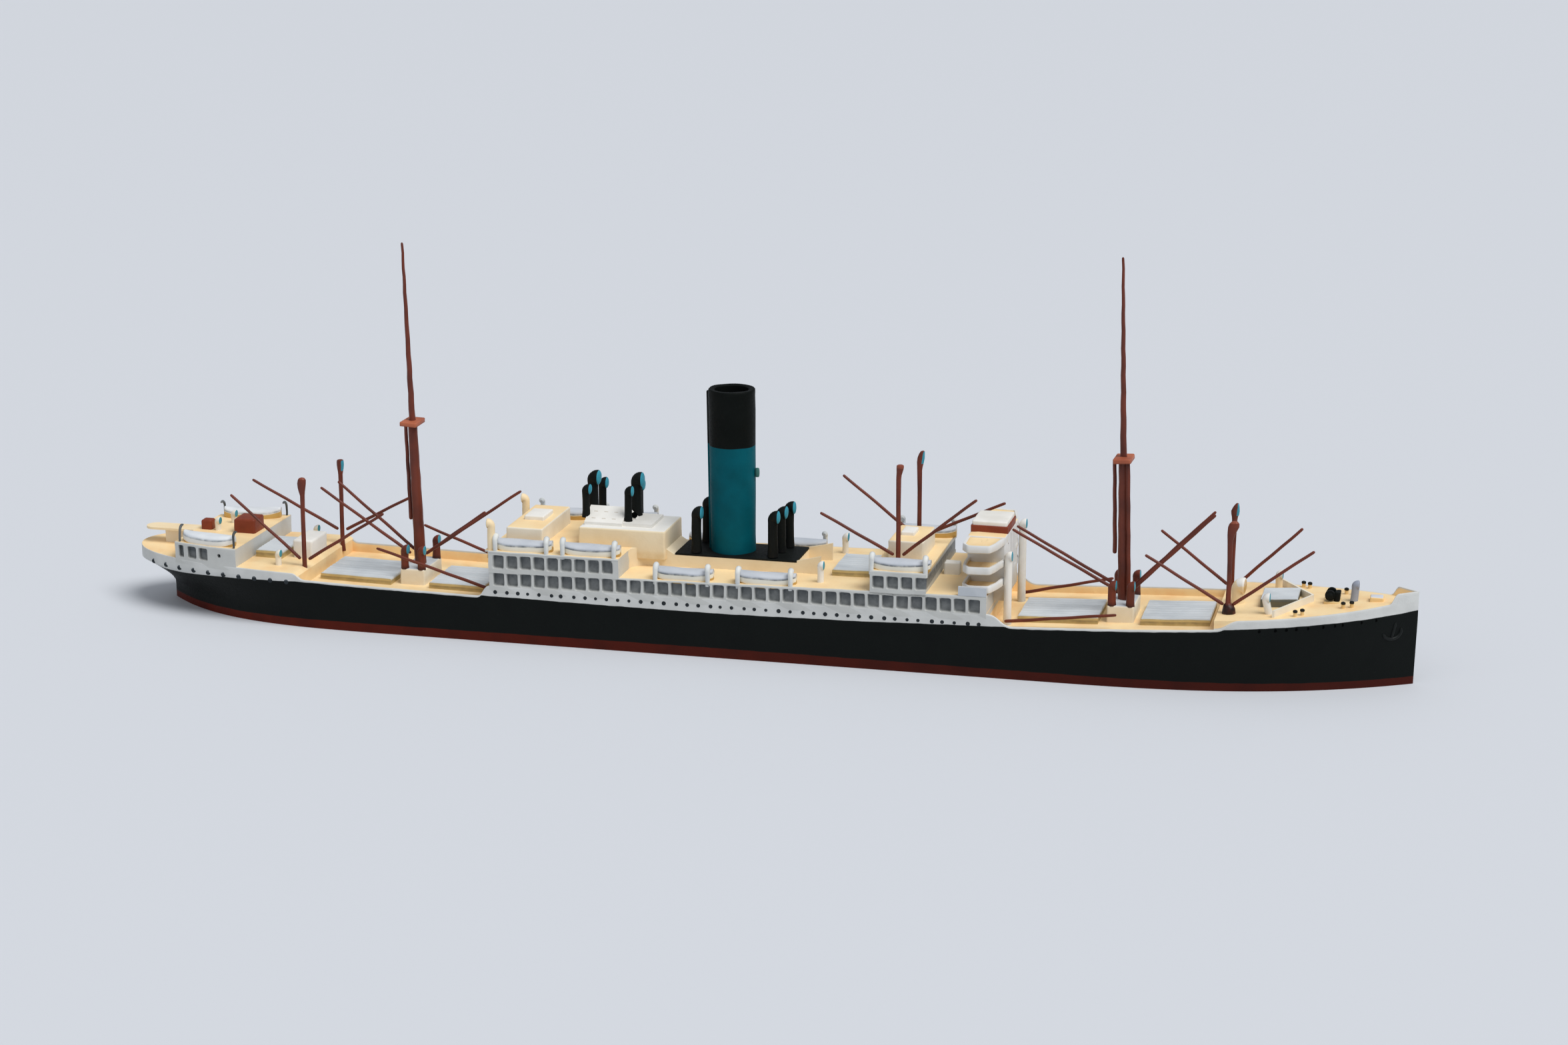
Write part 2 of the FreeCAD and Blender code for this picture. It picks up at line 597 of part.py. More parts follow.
def make_anchors():
    """Each anchor is a low disc let into the flare of the bow."""
    x = BOW_X - ANCHOR_AFT_OF_BOW
    y = half_breadth(x, ANCHOR_Z)
    step = ANCHOR_DIAMETER / 4
    slope = (half_breadth(x + step, ANCHOR_Z) - half_breadth(x - step, ANCHOR_Z)) / (2 * step)
    for side in (-1, 1):
        out = Vector(-slope, side, 0).normalize()
        centre = Vector(x, side * y, ANCHOR_Z)
        disc = rod(centre - out * ANCHOR_DEPTH, centre + out * ANCHOR_RELIEF, ANCHOR_DIAMETER)
        add("anchors", disc.cut(parts["hull"][0]).Solids[0])


def window_row(x0, count, height):
    """Shallow window recesses on both sides, their sills following a deck line."""
    cutters = []
    for side in (-1, 1):
        inner, outer = sorted((side * (HALF_BEAM - WINDOW_DEPTH), side * BEAM))
        for i in range(count):
            x = x0 + i * WINDOW_PITCH
            z = height(x + WINDOW_WIDTH / 2) + WINDOW_SILL
            cutters.append(box(x, x + WINDOW_WIDTH, inner, outer, z, z + WINDOW_HEIGHT))
    return cutters


def full_width(x0, x1, low, high):
    """A block flush with both sides of the hull, between two sloping deck lines."""
    side = [(x0, low(x0)), (x1, low(x1)), (x1, high(x1)), (x0, high(x0))]
    return side_polygon(side, -HALF_BEAM, HALF_BEAM)


def upper_sill(x):
    return promenade(x) + DECK_EDGE


def make_midship():
    house = full_width(HOUSE_AFT_X, HOUSE_FORE_X, strake, promenade)
    house = house.cut(window_row(HOUSE_AFT_X + FIRST_WINDOW, LOWER_WINDOWS, strake))
    spots = [(HOUSE_AFT_X + MIDSHIP_LENGTH * share, 0.0) for share in (0.2, 0.8)]
    slope = STRAKE_FORE_Z - STRAKE_AFT_Z
    add("midship_house", pegged(house, "hull", spots, strake(HOUSE_AFT_X) + slope, BLOCK_PEG_DIAMETER,
                                PEG_DEPTH + slope))

    under_edge = BOAT_DECK_Z - DECK_EDGE
    upper = full_width(HOUSE_AFT_X, UPPER_HOUSE_FORE_X, promenade, lambda _: under_edge)
    upper = upper.cut(window_row(HOUSE_AFT_X + FIRST_WINDOW, UPPER_WINDOWS, upper_sill))
    edge_x = HOUSE_AFT_X - DECK_EDGE_OVERHANG
    edge = box(edge_x, UPPER_HOUSE_FORE_X, -HALF_BEAM, HALF_BEAM, under_edge, BOAT_DECK_Z)
    middle, quarter = HOUSE_AFT_X + UPPER_HOUSE_LENGTH / 2, UPPER_HOUSE_LENGTH / 4
    spots = [(middle - quarter, 0.0), (middle + quarter, 0.0)]
    upper = upper.fuse(edge).removeSplitter()
    add("upper_house", pegged(upper, "midship_house", spots, promenade(middle), BLOCK_PEG_DIAMETER))

    screen_aft = HOUSE_FORE_X - BRIDGE_SCREEN_LENGTH
    inside = HALF_BEAM - BULWARK_THICKNESS
    screen_top = promenade(screen_aft) + BRIDGE_SCREEN_HEIGHT
    screens = full_width(screen_aft, HOUSE_FORE_X, promenade, lambda _: screen_top)
    add("bridge_side_screens", screens.cut(box(-FAR, FAR, -inside, inside, 0, FAR)).Solids)


def make_funnel():
    x0, x1, half = UPPER_HOUSE_FORE_X, CASING_FORE_X, FUNNEL_CASING_WIDTH / 2
    step_x = x1 - FUNNEL_PLATE_LENGTH
    ramp_x = step_x - CASING_STEP_LENGTH
    flank = [(x0, 0), (x1, 0), (x1, CASING_LIP_Z), (step_x, CASING_LIP_Z), (ramp_x, BOAT_DECK_Z)]
    flank.append((x0, BOAT_DECK_Z))
    # Two concave corners sweep the casing walls out into the front of the upper house
    radius = CASING_CORNER_RADIUS
    corner = box(x0, x0 + radius, -half - radius, half + radius, 0, BOAT_DECK_Z)
    centres = [Vector(x0 + radius, side * (half + radius), 0) for side in (-1, 1)]
    hollows = [Part.makeCylinder(radius, FAR, centre) for centre in centres]
    casing = side_polygon(flank, -half, half).fuse(corner.cut(hollows)).cut(under(promenade, x0 - 1, x1 + 1))
    for x in (x0 + PEG_EDGE, x1 - PEG_EDGE):
        casing = pegged(casing, "midship_house", [(x, 0.0)], promenade(x), BLOCK_PEG_DIAMETER)
    add("funnel_casing", casing)
    add("funnel_plate", box(step_x, x1, -half, half, CASING_LIP_Z, PLATE_Z))

    foot, top = Vector(FUNNEL_X, 0, PLATE_Z), Vector(FUNNEL_X - FUNNEL_LEAN, 0, FUNNEL_TOP_Z)
    axis = (top - foot).normalize()
    tube = rod(foot - axis, top + axis, FUNNEL_FOOT_DIAMETER, FUNNEL_TOP_DIAMETER)
    tube = tube.common(box(-FAR, FAR, -FAR, FAR, PLATE_Z, FUNNEL_TOP_Z))
    tube = tube.cut(rod(top - axis * FUNNEL_BORE_DEPTH, top + axis, FUNNEL_BORE))
    depth = FUNNEL_PLATE_THICKNESS + PEG_DEPTH
    add("funnel", pegged(tube, "funnel_plate", [(FUNNEL_X, 0.0)], PLATE_Z, BLOCK_PEG_DIAMETER, depth))
    socket("funnel_casing", FUNNEL_X, 0, PLATE_Z - depth - CLEARANCE, PLATE_Z, BLOCK_PEG_DIAMETER)

    aft_foot = foot - Vector((FUNNEL_FOOT_DIAMETER + STEAM_PIPE_DIAMETER) / 2, 0, 0)
    aft_top = top - Vector((FUNNEL_TOP_DIAMETER + STEAM_PIPE_DIAMETER) / 2, 0, 0)
    add("steam_pipe", rod(aft_foot, aft_top, STEAM_PIPE_DIAMETER))
    middle = (FUNNEL_FOOT_DIAMETER + FUNNEL_TOP_DIAMETER + 2 * WHISTLE_DIAMETER) / 4
    ahead = top - axis * WHISTLE_DROP + Vector(middle, 0, 0)
    add("whistle", rod(ahead, ahead + axis * WHISTLE_LENGTH, WHISTLE_DIAMETER))

    fore = x1 + WINDSCREEN_LENGTH
    for side in (-1, 1):
        y0, y1 = sorted((side * half, side * (half - WINDSCREEN_THICKNESS)))
        outline = [(x1, promenade(x1)), (fore, promenade(fore))]
        outline += [(fore, BOAT_DECK_Z + DECK_EDGE), (x1, PLATE_Z)]
        add("windscreens", side_polygon(outline, y0, y1))


def make_boat_deck():
    """Houses and skylights that stand on the boat deck and on the promenade deck."""
    x = HOUSE_AFT_X + AFT_DECKHOUSE_AHEAD
    quarter = AFT_DECKHOUSE[1] / 4
    house = block(x, AFT_DECKHOUSE, BOAT_DECK_Z)
    add("aft_deckhouse", pegged(house, "upper_house", [(x, -quarter), (x, quarter)], BOAT_DECK_Z))
    top = BOAT_DECK_Z + AFT_DECKHOUSE[2]
    skylight = block(x, AFT_SKYLIGHT, top)
    add("house_skylights", pegged(skylight, "aft_deckhouse", [(x, 0.0)], top, depth=SHORT_PEG_DEPTH))

    casing = block(CASING_X, ENGINE_CASING, BOAT_DECK_Z)
    x = CASING_X - ENGINE_CASING[0] / 4
    add("engine_casing", pegged(casing, "upper_house", [(x, 0.0)], BOAT_DECK_Z, BLOCK_PEG_DIAMETER))
    length, width, height = ENGINE_SKYLIGHT
    half, eave = width / 2, CASING_TOP_Z + height
    ridge = eave + ENGINE_SKYLIGHT_RIDGE
    gable = [(-half, CASING_TOP_Z), (half, CASING_TOP_Z), (half, eave), (0, ridge), (-half, eave)]
    corners = [Vector(SKYLIGHT_AFT_X, y, z) for y, z in gable]
    skylight = Part.Face(Part.makePolygon(corners + corners[:1])).extrude(Vector(length, 0, 0))
    x = SKYLIGHT_AFT_X + length / 2
    add("engine_skylight", pegged(skylight, "engine_casing", [(x, 0.0)], CASING_TOP_Z))
    x = SKYLIGHT_FORE_X + CASING_SLAB[0] / 2
    slab_top = CASING_TOP_Z + CASING_SLAB[2]
    hood = [(SKYLIGHT_FORE_X, slab_top), (SKYLIGHT_FORE_X + COMPANION[0], slab_top),
            (SKYLIGHT_FORE_X, slab_top + COMPANION[2])]
    slab = block(x, CASING_SLAB, CASING_TOP_Z).fuse(side_polygon(hood, -COMPANION[1] / 2, COMPANION[1] / 2))
    add("casing_companion", pegged(slab, "engine_casing", [(x, 0.0)], CASING_TOP_Z))

    house = full_width(OFFICERS_AFT_X, OFFICERS_FORE_X, promenade, lambda _: OFFICERS_HOUSE_TOP_Z)
    house = house.cut(window_row(OFFICERS_AFT_X + FIRST_OFFICERS_WINDOW, OFFICERS_WINDOWS, upper_sill))
    spots = [(OFFICERS_X, -HALF_BEAM / 2), (OFFICERS_X, HALF_BEAM / 2)]
    add("officers_house", pegged(house, "midship_house", spots, promenade(OFFICERS_X)))
    x, top = OFFICERS_X + SIGNAL_HOUSE_AHEAD, OFFICERS_HOUSE_TOP_Z
    house = block(x, SIGNAL_HOUSE, top)
    add("signal_house", pegged(house, "officers_house", [(x, 0.0)], top, BLOCK_PEG_DIAMETER))
    x, top = x - SIGNAL_SKYLIGHT_ABAFT, top + SIGNAL_HOUSE[2]
    skylight = block(x, SIGNAL_SKYLIGHT, top)
    add("house_skylights", pegged(skylight, "signal_house", [(x, 0.0)], top, depth=SHORT_PEG_DEPTH))

    x = OFFICERS_FORE_X + DECK_LOCKER_AHEAD
    add("deck_locker", pegged(seated(x, DECK_LOCKER, promenade), "midship_house", [(x, 0.0)], promenade(x)))


def wing_plan(half_span, inset=0.0):
    """Plan outline of a bridge wing from tip to tip: it narrows outboard of the tower."""
    root = TOWER_WIDTH / 2
    aft, fore = TOWER_AFT_X + inset, TOWER_FORE_X - inset
    tip_aft, tip_fore = aft + BRIDGE_WING_AFT_TAPER, fore - BRIDGE_WING_FORE_TAPER
    tip = half_span - inset
    starboard = [(tip_aft, -tip), (tip_fore, -tip), (fore, -root)]
    port = [(x, -y) for x, y in reversed(starboard)]
    return starboard + port + [(aft, root), (aft, -root)]


def make_bridge():
    deck = under(promenade, TOWER_AFT_X - 1, HOUSE_FORE_X)
    well = under(main_deck, HOUSE_FORE_X, TOWER_FORE_X + 1)
    half = TOWER_WIDTH / 2
    core = box(TOWER_AFT_X, TOWER_FORE_X, -half, half, 0, TOWER_TOP_Z)
    x = (TOWER_AFT_X + HOUSE_FORE_X) / 2
    spots = [(x, -half / 2), (x, half / 2)]
    add("bridge_tower", pegged(core.cut(deck).cut(well), "midship_house", spots, promenade(x)))
    for z, drop in zip(BRIDGE_WING_LEVELS, BRIDGE_WING_FLOOR_DROP):
        top = z + BRIDGE_WING_HEIGHT
        wing = plan_polygon(wing_plan(BRIDGE_WING_SPAN / 2), z, top)
        floor = plan_polygon(wing_plan(BRIDGE_WING_SPAN / 2, BULWARK_THICKNESS), top - drop, top + 1)
        add("bridge_wings", wing.cut([floor, core] + parts["bridge_side_screens"]).Solids)
    half = WHEELHOUSE_WIDTH / 2
    roof_z = TOWER_TOP_Z + WHEELHOUSE_HEIGHT
    x = (TOWER_AFT_X + TOWER_FORE_X) / 2
    house = box(TOWER_AFT_X, TOWER_FORE_X, -half, half, TOWER_TOP_Z, roof_z)
    add("wheelhouse", pegged(house, "bridge_tower", [(x, 0.0)], TOWER_TOP_Z, BLOCK_PEG_DIAMETER))
    trim = WHEELHOUSE_ROOF_SETBACK
    roof = block(x, (TOWER_LENGTH - 2 * trim, WHEELHOUSE_WIDTH - 2 * trim, WHEELHOUSE_ROOF_HEIGHT), roof_z)
    add("wheelhouse_roof", pegged(roof, "wheelhouse", [(x, 0.0)], roof_z, depth=WHEELHOUSE_HEIGHT / 2))
    place = TOWER_FORE_X + BRIDGE_COWL[0] / 2
    diameter, height, mouth = BRIDGE_COWL
    tall = (diameter, height + PORT_BRIDGE_COWL_RISE, mouth)
    half = (TOWER_WIDTH + diameter) / 2
    add_cowls("bridge_front_cowls", "hull", [(place, -half)], BRIDGE_COWL, main_deck)
    add_cowls("bridge_front_cowls", "hull", [(place, half)], tall, main_deck)


def make_mast(prefix, x, top_z, crosstree_z, booms):
    """A pole mast with its house, its crosstree and the booms stowed upright along it."""
    house_top = main_deck(x) + MAST_HOUSE[2]
    house = seated(x, MAST_HOUSE, main_deck)
    quarter = MAST_HOUSE[1] / 4
    add("mast_houses", pegged(house, "hull", [(x, -quarter), (x, quarter)], main_deck(x)))

    def axis(z):
        return Vector(x - MAST_RAKE * (z - house_top), 0, z)

    lower = rod(axis(house_top - 1), axis(crosstree_z), MAST_HEEL_DIAMETER, MAST_DIAMETER)
    upper = rod(axis(crosstree_z), axis(top_z), TOPMAST_DIAMETER, TRUCK_DIAMETER)
    pole = lower.fuse(upper).cut(box(-FAR, FAR, -FAR, FAR, 0, house_top))
    spots = [(x, 0.0)]
    add(prefix + "_mast", pegged(pole, "mast_houses", spots, house_top, MAST_PEG_DIAMETER, MAST_PEG_DEPTH))

    tree = block(axis(crosstree_z).x, CROSSTREE, crosstree_z)
    bore = rod(axis(crosstree_z - 1), axis(crosstree_z + 1), TOPMAST_DIAMETER + 2 * CLEARANCE)
    add("crosstrees", tree.cut(bore))
    for (dx, dy), heel, diameter in booms:
        step = Vector(dx, dy, 0)
        boom = rod(axis(house_top + heel) + step, axis(crosstree_z) + step, diameter)
        add("stowed_booms", boom.cut(box(-FAR, FAR, -FAR, FAR, crosstree_z, FAR)))


def derrick(heel, length, lift, ahead):
    """A boom that lies fore and aft, raised by its lift angle from its heel."""
    angle = math.radians(lift)
    reach = length * math.cos(angle) * (1 if ahead else -1)
    return rod(heel, heel + Vector(reach, 0, length * math.sin(angle)), DERRICK_DIAMETER)


def make_masts():
    aft = (AFT_STOWED_BOOM, AFT_STOWED_BOOM_HEEL, AFT_STOWED_BOOM_DIAMETER)
    fore = (FORE_STOWED_BOOM, FORE_STOWED_BOOM_HEEL, FORE_STOWED_BOOM_DIAMETER)
    make_mast("fore", FORE_MAST_X, FORE_MAST_TOP_Z, FORE_CROSSTREE_Z, (aft, fore))
    make_mast("main", MAIN_MAST_X, MAIN_MAST_TOP_Z, MAIN_CROSSTREE_Z, (aft,))
    diameter = MAST_HOUSE_COWL[0]
    reach, side_y = (MAST_HOUSE[0] - diameter) / 2, (MAST_HOUSE[1] - diameter) / 2
    step = (MAST_HEEL_DIAMETER + DERRICK_DIAMETER) / 2 + DERRICK_STANDOFF
    for x, rig in ((FORE_MAST_X, FORE_MAST_DERRICKS), (MAIN_MAST_X, MAIN_MAST_DERRICKS)):
        top = main_deck(x) + MAST_HOUSE[2]
        places = mirrored([(x - reach, side_y), (x + reach, side_y)])
        add_cowls("mast_house_cowls", "mast_houses", places, MAST_HOUSE_COWL, lambda _: top)
        for side, pair in zip((-1, 1), rig):
            for ahead, (length, lift) in zip((False, True), pair):
                heel_x = x + (step if ahead else -step)
                heel = Vector(heel_x, side * MAST_DERRICK_SPREAD, top + MAST_DERRICK_HEEL_HEIGHT)
                add("mast_derricks", derrick(heel, length, lift, ahead))


def officers_roof(_):
    return OFFICERS_HOUSE_TOP_Z


def make_kingposts():
    """Pairs of ventilator posts, each with its two derricks heeled against it."""
    step = (KINGPOST_DIAMETER + DERRICK_DIAMETER) / 2 + DERRICK_STANDOFF
    aft_x = POOP_BREAK_X - AFT_KINGPOSTS_AFT_OF_BREAK
    officers_x = OFFICERS_AFT_X + MIDSHIP_KINGPOSTS_AHEAD
    fore_x = FORECASTLE_BREAK_X + FORE_KINGPOSTS_AHEAD
    sets = [
        ("aft", "hull", aft_x, poop_deck, AFT_KINGPOSTS),
        ("midship", "officers_house", officers_x, officers_roof, MIDSHIP_KINGPOSTS),
        ("fore", "hull", fore_x, forecastle_deck, FORE_KINGPOSTS),
    ]
    rigs = (AFT_KINGPOST_DERRICKS, MIDSHIP_KINGPOST_DERRICKS, FORE_KINGPOST_DERRICKS)
    for (prefix, carrier, pair_x, deck, (spread, *posts)), rig in zip(sets, rigs):
        for side, (shift, height, heel_height), booms in zip((-1, 1), posts, rig):
            x, y = pair_x + shift, side * spread
            size = (KINGPOST_DIAMETER, height, KINGPOST_HEAD)
            add_cowls(prefix + "_kingposts", carrier, [(x, y)], size, deck)
            for ahead, (length, lift) in zip((False, True), booms):
                heel = Vector(x + (step if ahead else -step), y, deck(x) + heel_height)
                add("kingpost_derricks", derrick(heel, length, lift, ahead))


def make_low_derricks():
    """Derricks that lie low over the well decks, each heeled on a short post of its own."""
    aft_x = HOUSE_AFT_X - LOW_DERRICK_POST
    for end_x, ahead, pair in ((aft_x, False, LOW_AFT_DERRICKS), (TOWER_FORE_X, True, LOW_FORE_DERRICKS)):
        x = end_x + (LOW_DERRICK_POST if ahead else -LOW_DERRICK_POST)
        spread, rise = LOW_DERRICK_SPREAD[ahead], LOW_DERRICK_HEEL_HEIGHT[ahead]
        for side, (length, lift) in zip((-1, 1), pair):
            foot = Vector(x, side * spread, main_deck(x) - DERRICK_DIAMETER)
            heel = Vector(x, side * spread, main_deck(x) + rise)
            post = rod(foot, heel, DERRICK_DIAMETER).fuse(Part.makeSphere(DERRICK_DIAMETER / 2, heel))
            post = post.cut(under(main_deck, x - 1, x + 1))
            boom = post.fuse(derrick(heel, length, lift, ahead))
            add("low_derricks", boom.removeSplitter())


def hatch(name, carrier, x, size, height):
    """A covered hatch whose coaming stands on the deck and whose lid follows its slope."""
    length, width, depth = size
    lid = under(lambda at: height(at) + depth, x - length, x + length)
    lid = lid.common(box(x - length / 2, x + length / 2, -width / 2, width / 2, 0, FAR))
    lid = lid.cut(under(height, x - length, x + length))
    spots = [(x - length / 4, 0.0), (x + length / 4, 0.0)]
    add(name, pegged(lid, carrier, spots, height(x)))


def make_hatches():
    reach = MAST_HOUSE[0] / 2 + HATCH_GAP
    spans = [
        (POOP_BREAK_X + HATCH_GAP, MAIN_MAST_X - reach),
        (MAIN_MAST_X + reach, HOUSE_AFT_X - HATCH_HOUSE_GAP),
        (TOWER_FORE_X + HATCH_TOWER_GAP, FORE_MAST_X - reach),
        (FORE_MAST_X + reach, FORECASTLE_BREAK_X - HATCH_GAP),
    ]
    for x0, x1 in spans:
        hatch("well_deck_hatches", "hull", (x0 + x1) / 2, (x1 - x0, HATCH_WIDTH, HATCH_HEIGHT), main_deck)
    rows = [
        ("hull", FORECASTLE_BREAK_X + FORECASTLE_HATCH_AHEAD, FORECASTLE_HATCH, forecastle_deck),
        ("hull", POOP_HOUSE_FORE_X + (HATCH_GAP + POOP_HATCH[0]) / 2, POOP_HATCH, poop_deck),
        ("midship_house", OFFICERS_AFT_X - CLEARANCE - MIDSHIP_HATCH[0] / 2, MIDSHIP_HATCH, promenade),
    ]
    for carrier, x, size, height in rows:
        hatch("small_hatches", carrier, x, size, height)


def boat(x, y, z, turn=0.0):
    """A covered boat: full blunt ends in plan, and a keel that lifts a little at both ends."""
    half, depth, breadth = BOAT_LENGTH / 2, BOAT_HEIGHT, BOAT_BEAM * BOAT_END_BREADTH / 2
    edges = []
    for side in (-1, 1):
        ends_y, middle_y = side * breadth, side * BOAT_BEAM / 2
        rail = Part.Arc(Vector(-half, ends_y, 0), Vector(0, middle_y, 0), Vector(half, ends_y, 0))
        edges.append(rail.toShape())
    for end in (-half, half):
        edges.append(Part.makeLine(Vector(end, -breadth, 0), Vector(end, breadth, 0)))
    plan = Part.Face(Part.Wire(Part.sortEdges(edges)[0])).extrude(Vector(0, 0, depth))
    rise = depth * BOAT_KEEL_RISE
    keel = Part.Arc(Vector(-half, 0, rise), Vector(0, 0, 0), Vector(half, 0, rise)).toShape()
    top = [line(half, rise, half, depth), line(half, depth, -half, depth), line(-half, depth, -half, rise)]
    hull = plan.common(side_prism([keel] + top))
    hull.rotate(Vector(0, 0, 0), Vector(0, 0, 1), turn)
    hull.translate(Vector(x, y, z))
    return hull


def davit(x, y, z, inboard):
    """A davit: a post on the deck, its head reaching over the boat's end."""
    foot, head = Vector(x, y, z), Vector(x, y, z + DAVIT_HEIGHT)
    arm = head + Vector(0, inboard * DAVIT_REACH, 0)
    knee = Part.makeSphere(DAVIT_DIAMETER / 2, head)
    return rod(foot, head, DAVIT_DIAMETER).fuse([knee, rod(head, arm, DAVIT_DIAMETER)]).removeSplitter()


def add_boat(names, carrier, x, y, height, davit_spots, turn=0.0):
    """A boat on its deck, with the pair of davits that stand at its ends."""
    boats, davits = names
    z = height(x)
    hull = boat(x, y, z + BOAT_KEEL_GAP, turn)
    add(boats, pegged(hull, carrier, [(x, y)], z, depth=SHORT_PEG_DEPTH))
    for dx, dy in davit_spots:
        z = height(dx)
        arm = davit(dx, dy, z, -1 if dy > 0 else 1)
        add(davits, pegged(arm, carrier, [(dx, dy)], z, PIN_DIAMETER, SHORT_PEG_DEPTH))


def make_boats():
    y, edge = HALF_BEAM - BOAT_OFF_SIDE - BOAT_BEAM / 2, HALF_BEAM - DAVIT_DIAMETER / 2
    rows = [("upper_house", HOUSE_AFT_X + ahead, boat_deck) for ahead in BOATS_ALONG_UPPER_HOUSE]
    rows += [("midship_house", UPPER_HOUSE_FORE_X + ahead, promenade) for ahead in BOATS_ALONG_PROMENADE]
    rows.append(("officers_house", OFFICERS_X, officers_roof))
    half = DAVIT_SPREAD / 2
    for carrier, x, height in rows:
        for side in (-1, 1):
            spots = [(x - half, side * edge), (x + half, side * edge)]
            add_boat(("lifeboats", "lifeboat_davits"), carrier, x, side * y, height, spots)


def poop_roof(_):
    return POOP_HOUSE_TOP_Z


def make_poop():
    aft, fore, top = POOP_HOUSE_AFT_X, POOP_HOUSE_FORE_X, POOP_HOUSE_TOP_Z
    body = hull_form().common(box(aft, fore, -FAR, FAR, 0, top)).cut(under(poop_deck))
    x, quarter = (aft + fore) / 2, POOP_HOUSE_LENGTH / 4
    spots = [(x - quarter, 0.0), (x + quarter, 0.0)]
    add("poop_house", pegged(body, "hull", spots, poop_deck(x), BLOCK_PEG_DIAMETER))

    tip, half = aft - DOCKING_BRIDGE_LENGTH, DOCKING_BRIDGE_WIDTH / 2
    under_side = top - DOCKING_BRIDGE_THICKNESS
    tongue = box(tip + half, aft, -half, half, under_side, top)
    end = Part.makeCylinder(half, DOCKING_BRIDGE_THICKNESS, Vector(tip + half, 0, under_side))
    add("docking_bridge", tongue.fuse(end).removeSplitter())
    length, width = DOCKING_TRUNK
    x = tip + DOCKING_TRUNK_AHEAD + length / 2
    trunk = box(x - length / 2, x + length / 2, -width / 2, width / 2, 0, under_side).cut(under(poop_deck))
    add("docking_bridge_trunk", pegged(trunk, "hull", [(x, 0.0)], poop_deck(x)))

    x = POOP_BREAK_X - WINCH_HOUSE_AFT_OF_BREAK
    add("poop_winch_house", pegged(seated(x, WINCH_HOUSE, poop_deck), "hull", [(x, 0.0)], poop_deck(x)))
    boxes = [
        (aft + STEERING_BOX_AHEAD, 0.0, STEERING_BOX),
        (fore - GALLEY_BOX_ABAFT, GALLEY_BOX[1] / 10, GALLEY_BOX),
    ]
    for x, y, size in boxes:
        add("poop_roof_boxes", pegged(block(x, size, top, y), "poop_house", [(x, y)], top))

    x = (aft + fore) / 2 + POOP_BOAT_AHEAD
    y = half_breadth(x, top) - BOAT_OFF_SIDE - BOAT_BEAM / 2
    reach = (BOAT_LENGTH + DAVIT_DIAMETER) / 2
    for side in (-1, 1):
        spots = [(at, side * (half_breadth(at, top) - DAVIT_DIAMETER)) for at in (x - reach, x + reach)]
        turn = side * POOP_BOAT_TOE_DEGREES
        add_boat(("poop_boats", "poop_davits"), "poop_house", x, side * y, poop_roof, spots, turn)


def make_cowls():
    places = mirrored([(POOP_BREAK_X - POOP_COWLS[0], POOP_COWLS[1])])
    add_cowls("poop_cowls", "hull", places, POOP_COWL, poop_deck)
    places = [(POOP_HOUSE_AFT_X + ahead, y) for ahead, y in POOP_ROOF_COWLS]
    add_cowls("poop_cowls", "poop_house", places, POOP_ROOF_COWL, poop_roof)

    skylight_eave, slab_top = CASING_TOP_Z + ENGINE_SKYLIGHT[2], CASING_TOP_Z + CASING_SLAB[2]
    lean_to, casing = parts["engine_skylight"][0], parts["engine_casing"][0]
    for y, size in ((-CASING_COWLS_Y, SKYLIGHT_COWL), (CASING_COWLS_Y, LARGE_CASING_COWL)):
        body = cowl(SKYLIGHT_AFT_X + size[0] / 4, y, skylight_eave, size).cut([lean_to, casing])
        add("casing_cowls", body)
        places, depth = [(SKYLIGHT_FORE_X + size[0] / 2, y)], CASING_SLAB[2] / 2
        add_cowls("casing_cowls", "casing_companion", places, size, lambda _: slab_top, depth=depth)
    places = [(SKYLIGHT_AFT_X, PORT_DECK_COWLS_Y), (SKYLIGHT_FORE_X, PORT_DECK_COWLS_Y)]
    add_cowls("casing_cowls", "upper_house", places, PORT_DECK_COWL, boat_deck)

    y = (FUNNEL_CASING_WIDTH - FUNNEL_COWL[0]) / 2 - PEG_ROOT / 2
    places = [(FUNNEL_X + ahead, share * y) for ahead, share in FUNNEL_COWLS]
    depth = FUNNEL_PLATE_THICKNESS / 2
    add_cowls("funnel_cowls", "funnel_plate", places, FUNNEL_COWL, lambda _: PLATE_Z, depth=depth)
    places = [(HOUSE_AFT_X + ahead, y) for ahead, y in AFT_DECK_COWLS]
    add_cowls("aft_deck_cowls", "upper_house", places, AFT_DECK_COWL, boat_deck, 180.0)
    places = mirrored([(CASING_FORE_X + PROMENADE_COWLS[0], PROMENADE_COWLS[1])])
    add_cowls("promenade_cowls", "midship_house", places, PROMENADE_COWL, promenade)
    places = mirrored([(FORECASTLE_BREAK_X + FORECASTLE_COWLS[0], FORECASTLE_COWLS[1])])
    add_cowls("forecastle_cowls", "hull", places, FORECASTLE_COWL, forecastle_deck)
    places = [(FORECASTLE_BREAK_X + LARGE_COWL_PLACE[0], LARGE_COWL_PLACE[1])]
    add_cowls("forecastle_cowls", "hull", places, LARGE_FORECASTLE_COWL, forecastle_deck)
    places = [(FORECASTLE_BREAK_X + BOW_COWL_AHEAD, 0.0)]
    add_cowls("forecastle_cowls", "hull", places, BOW_COWL, forecastle_deck)


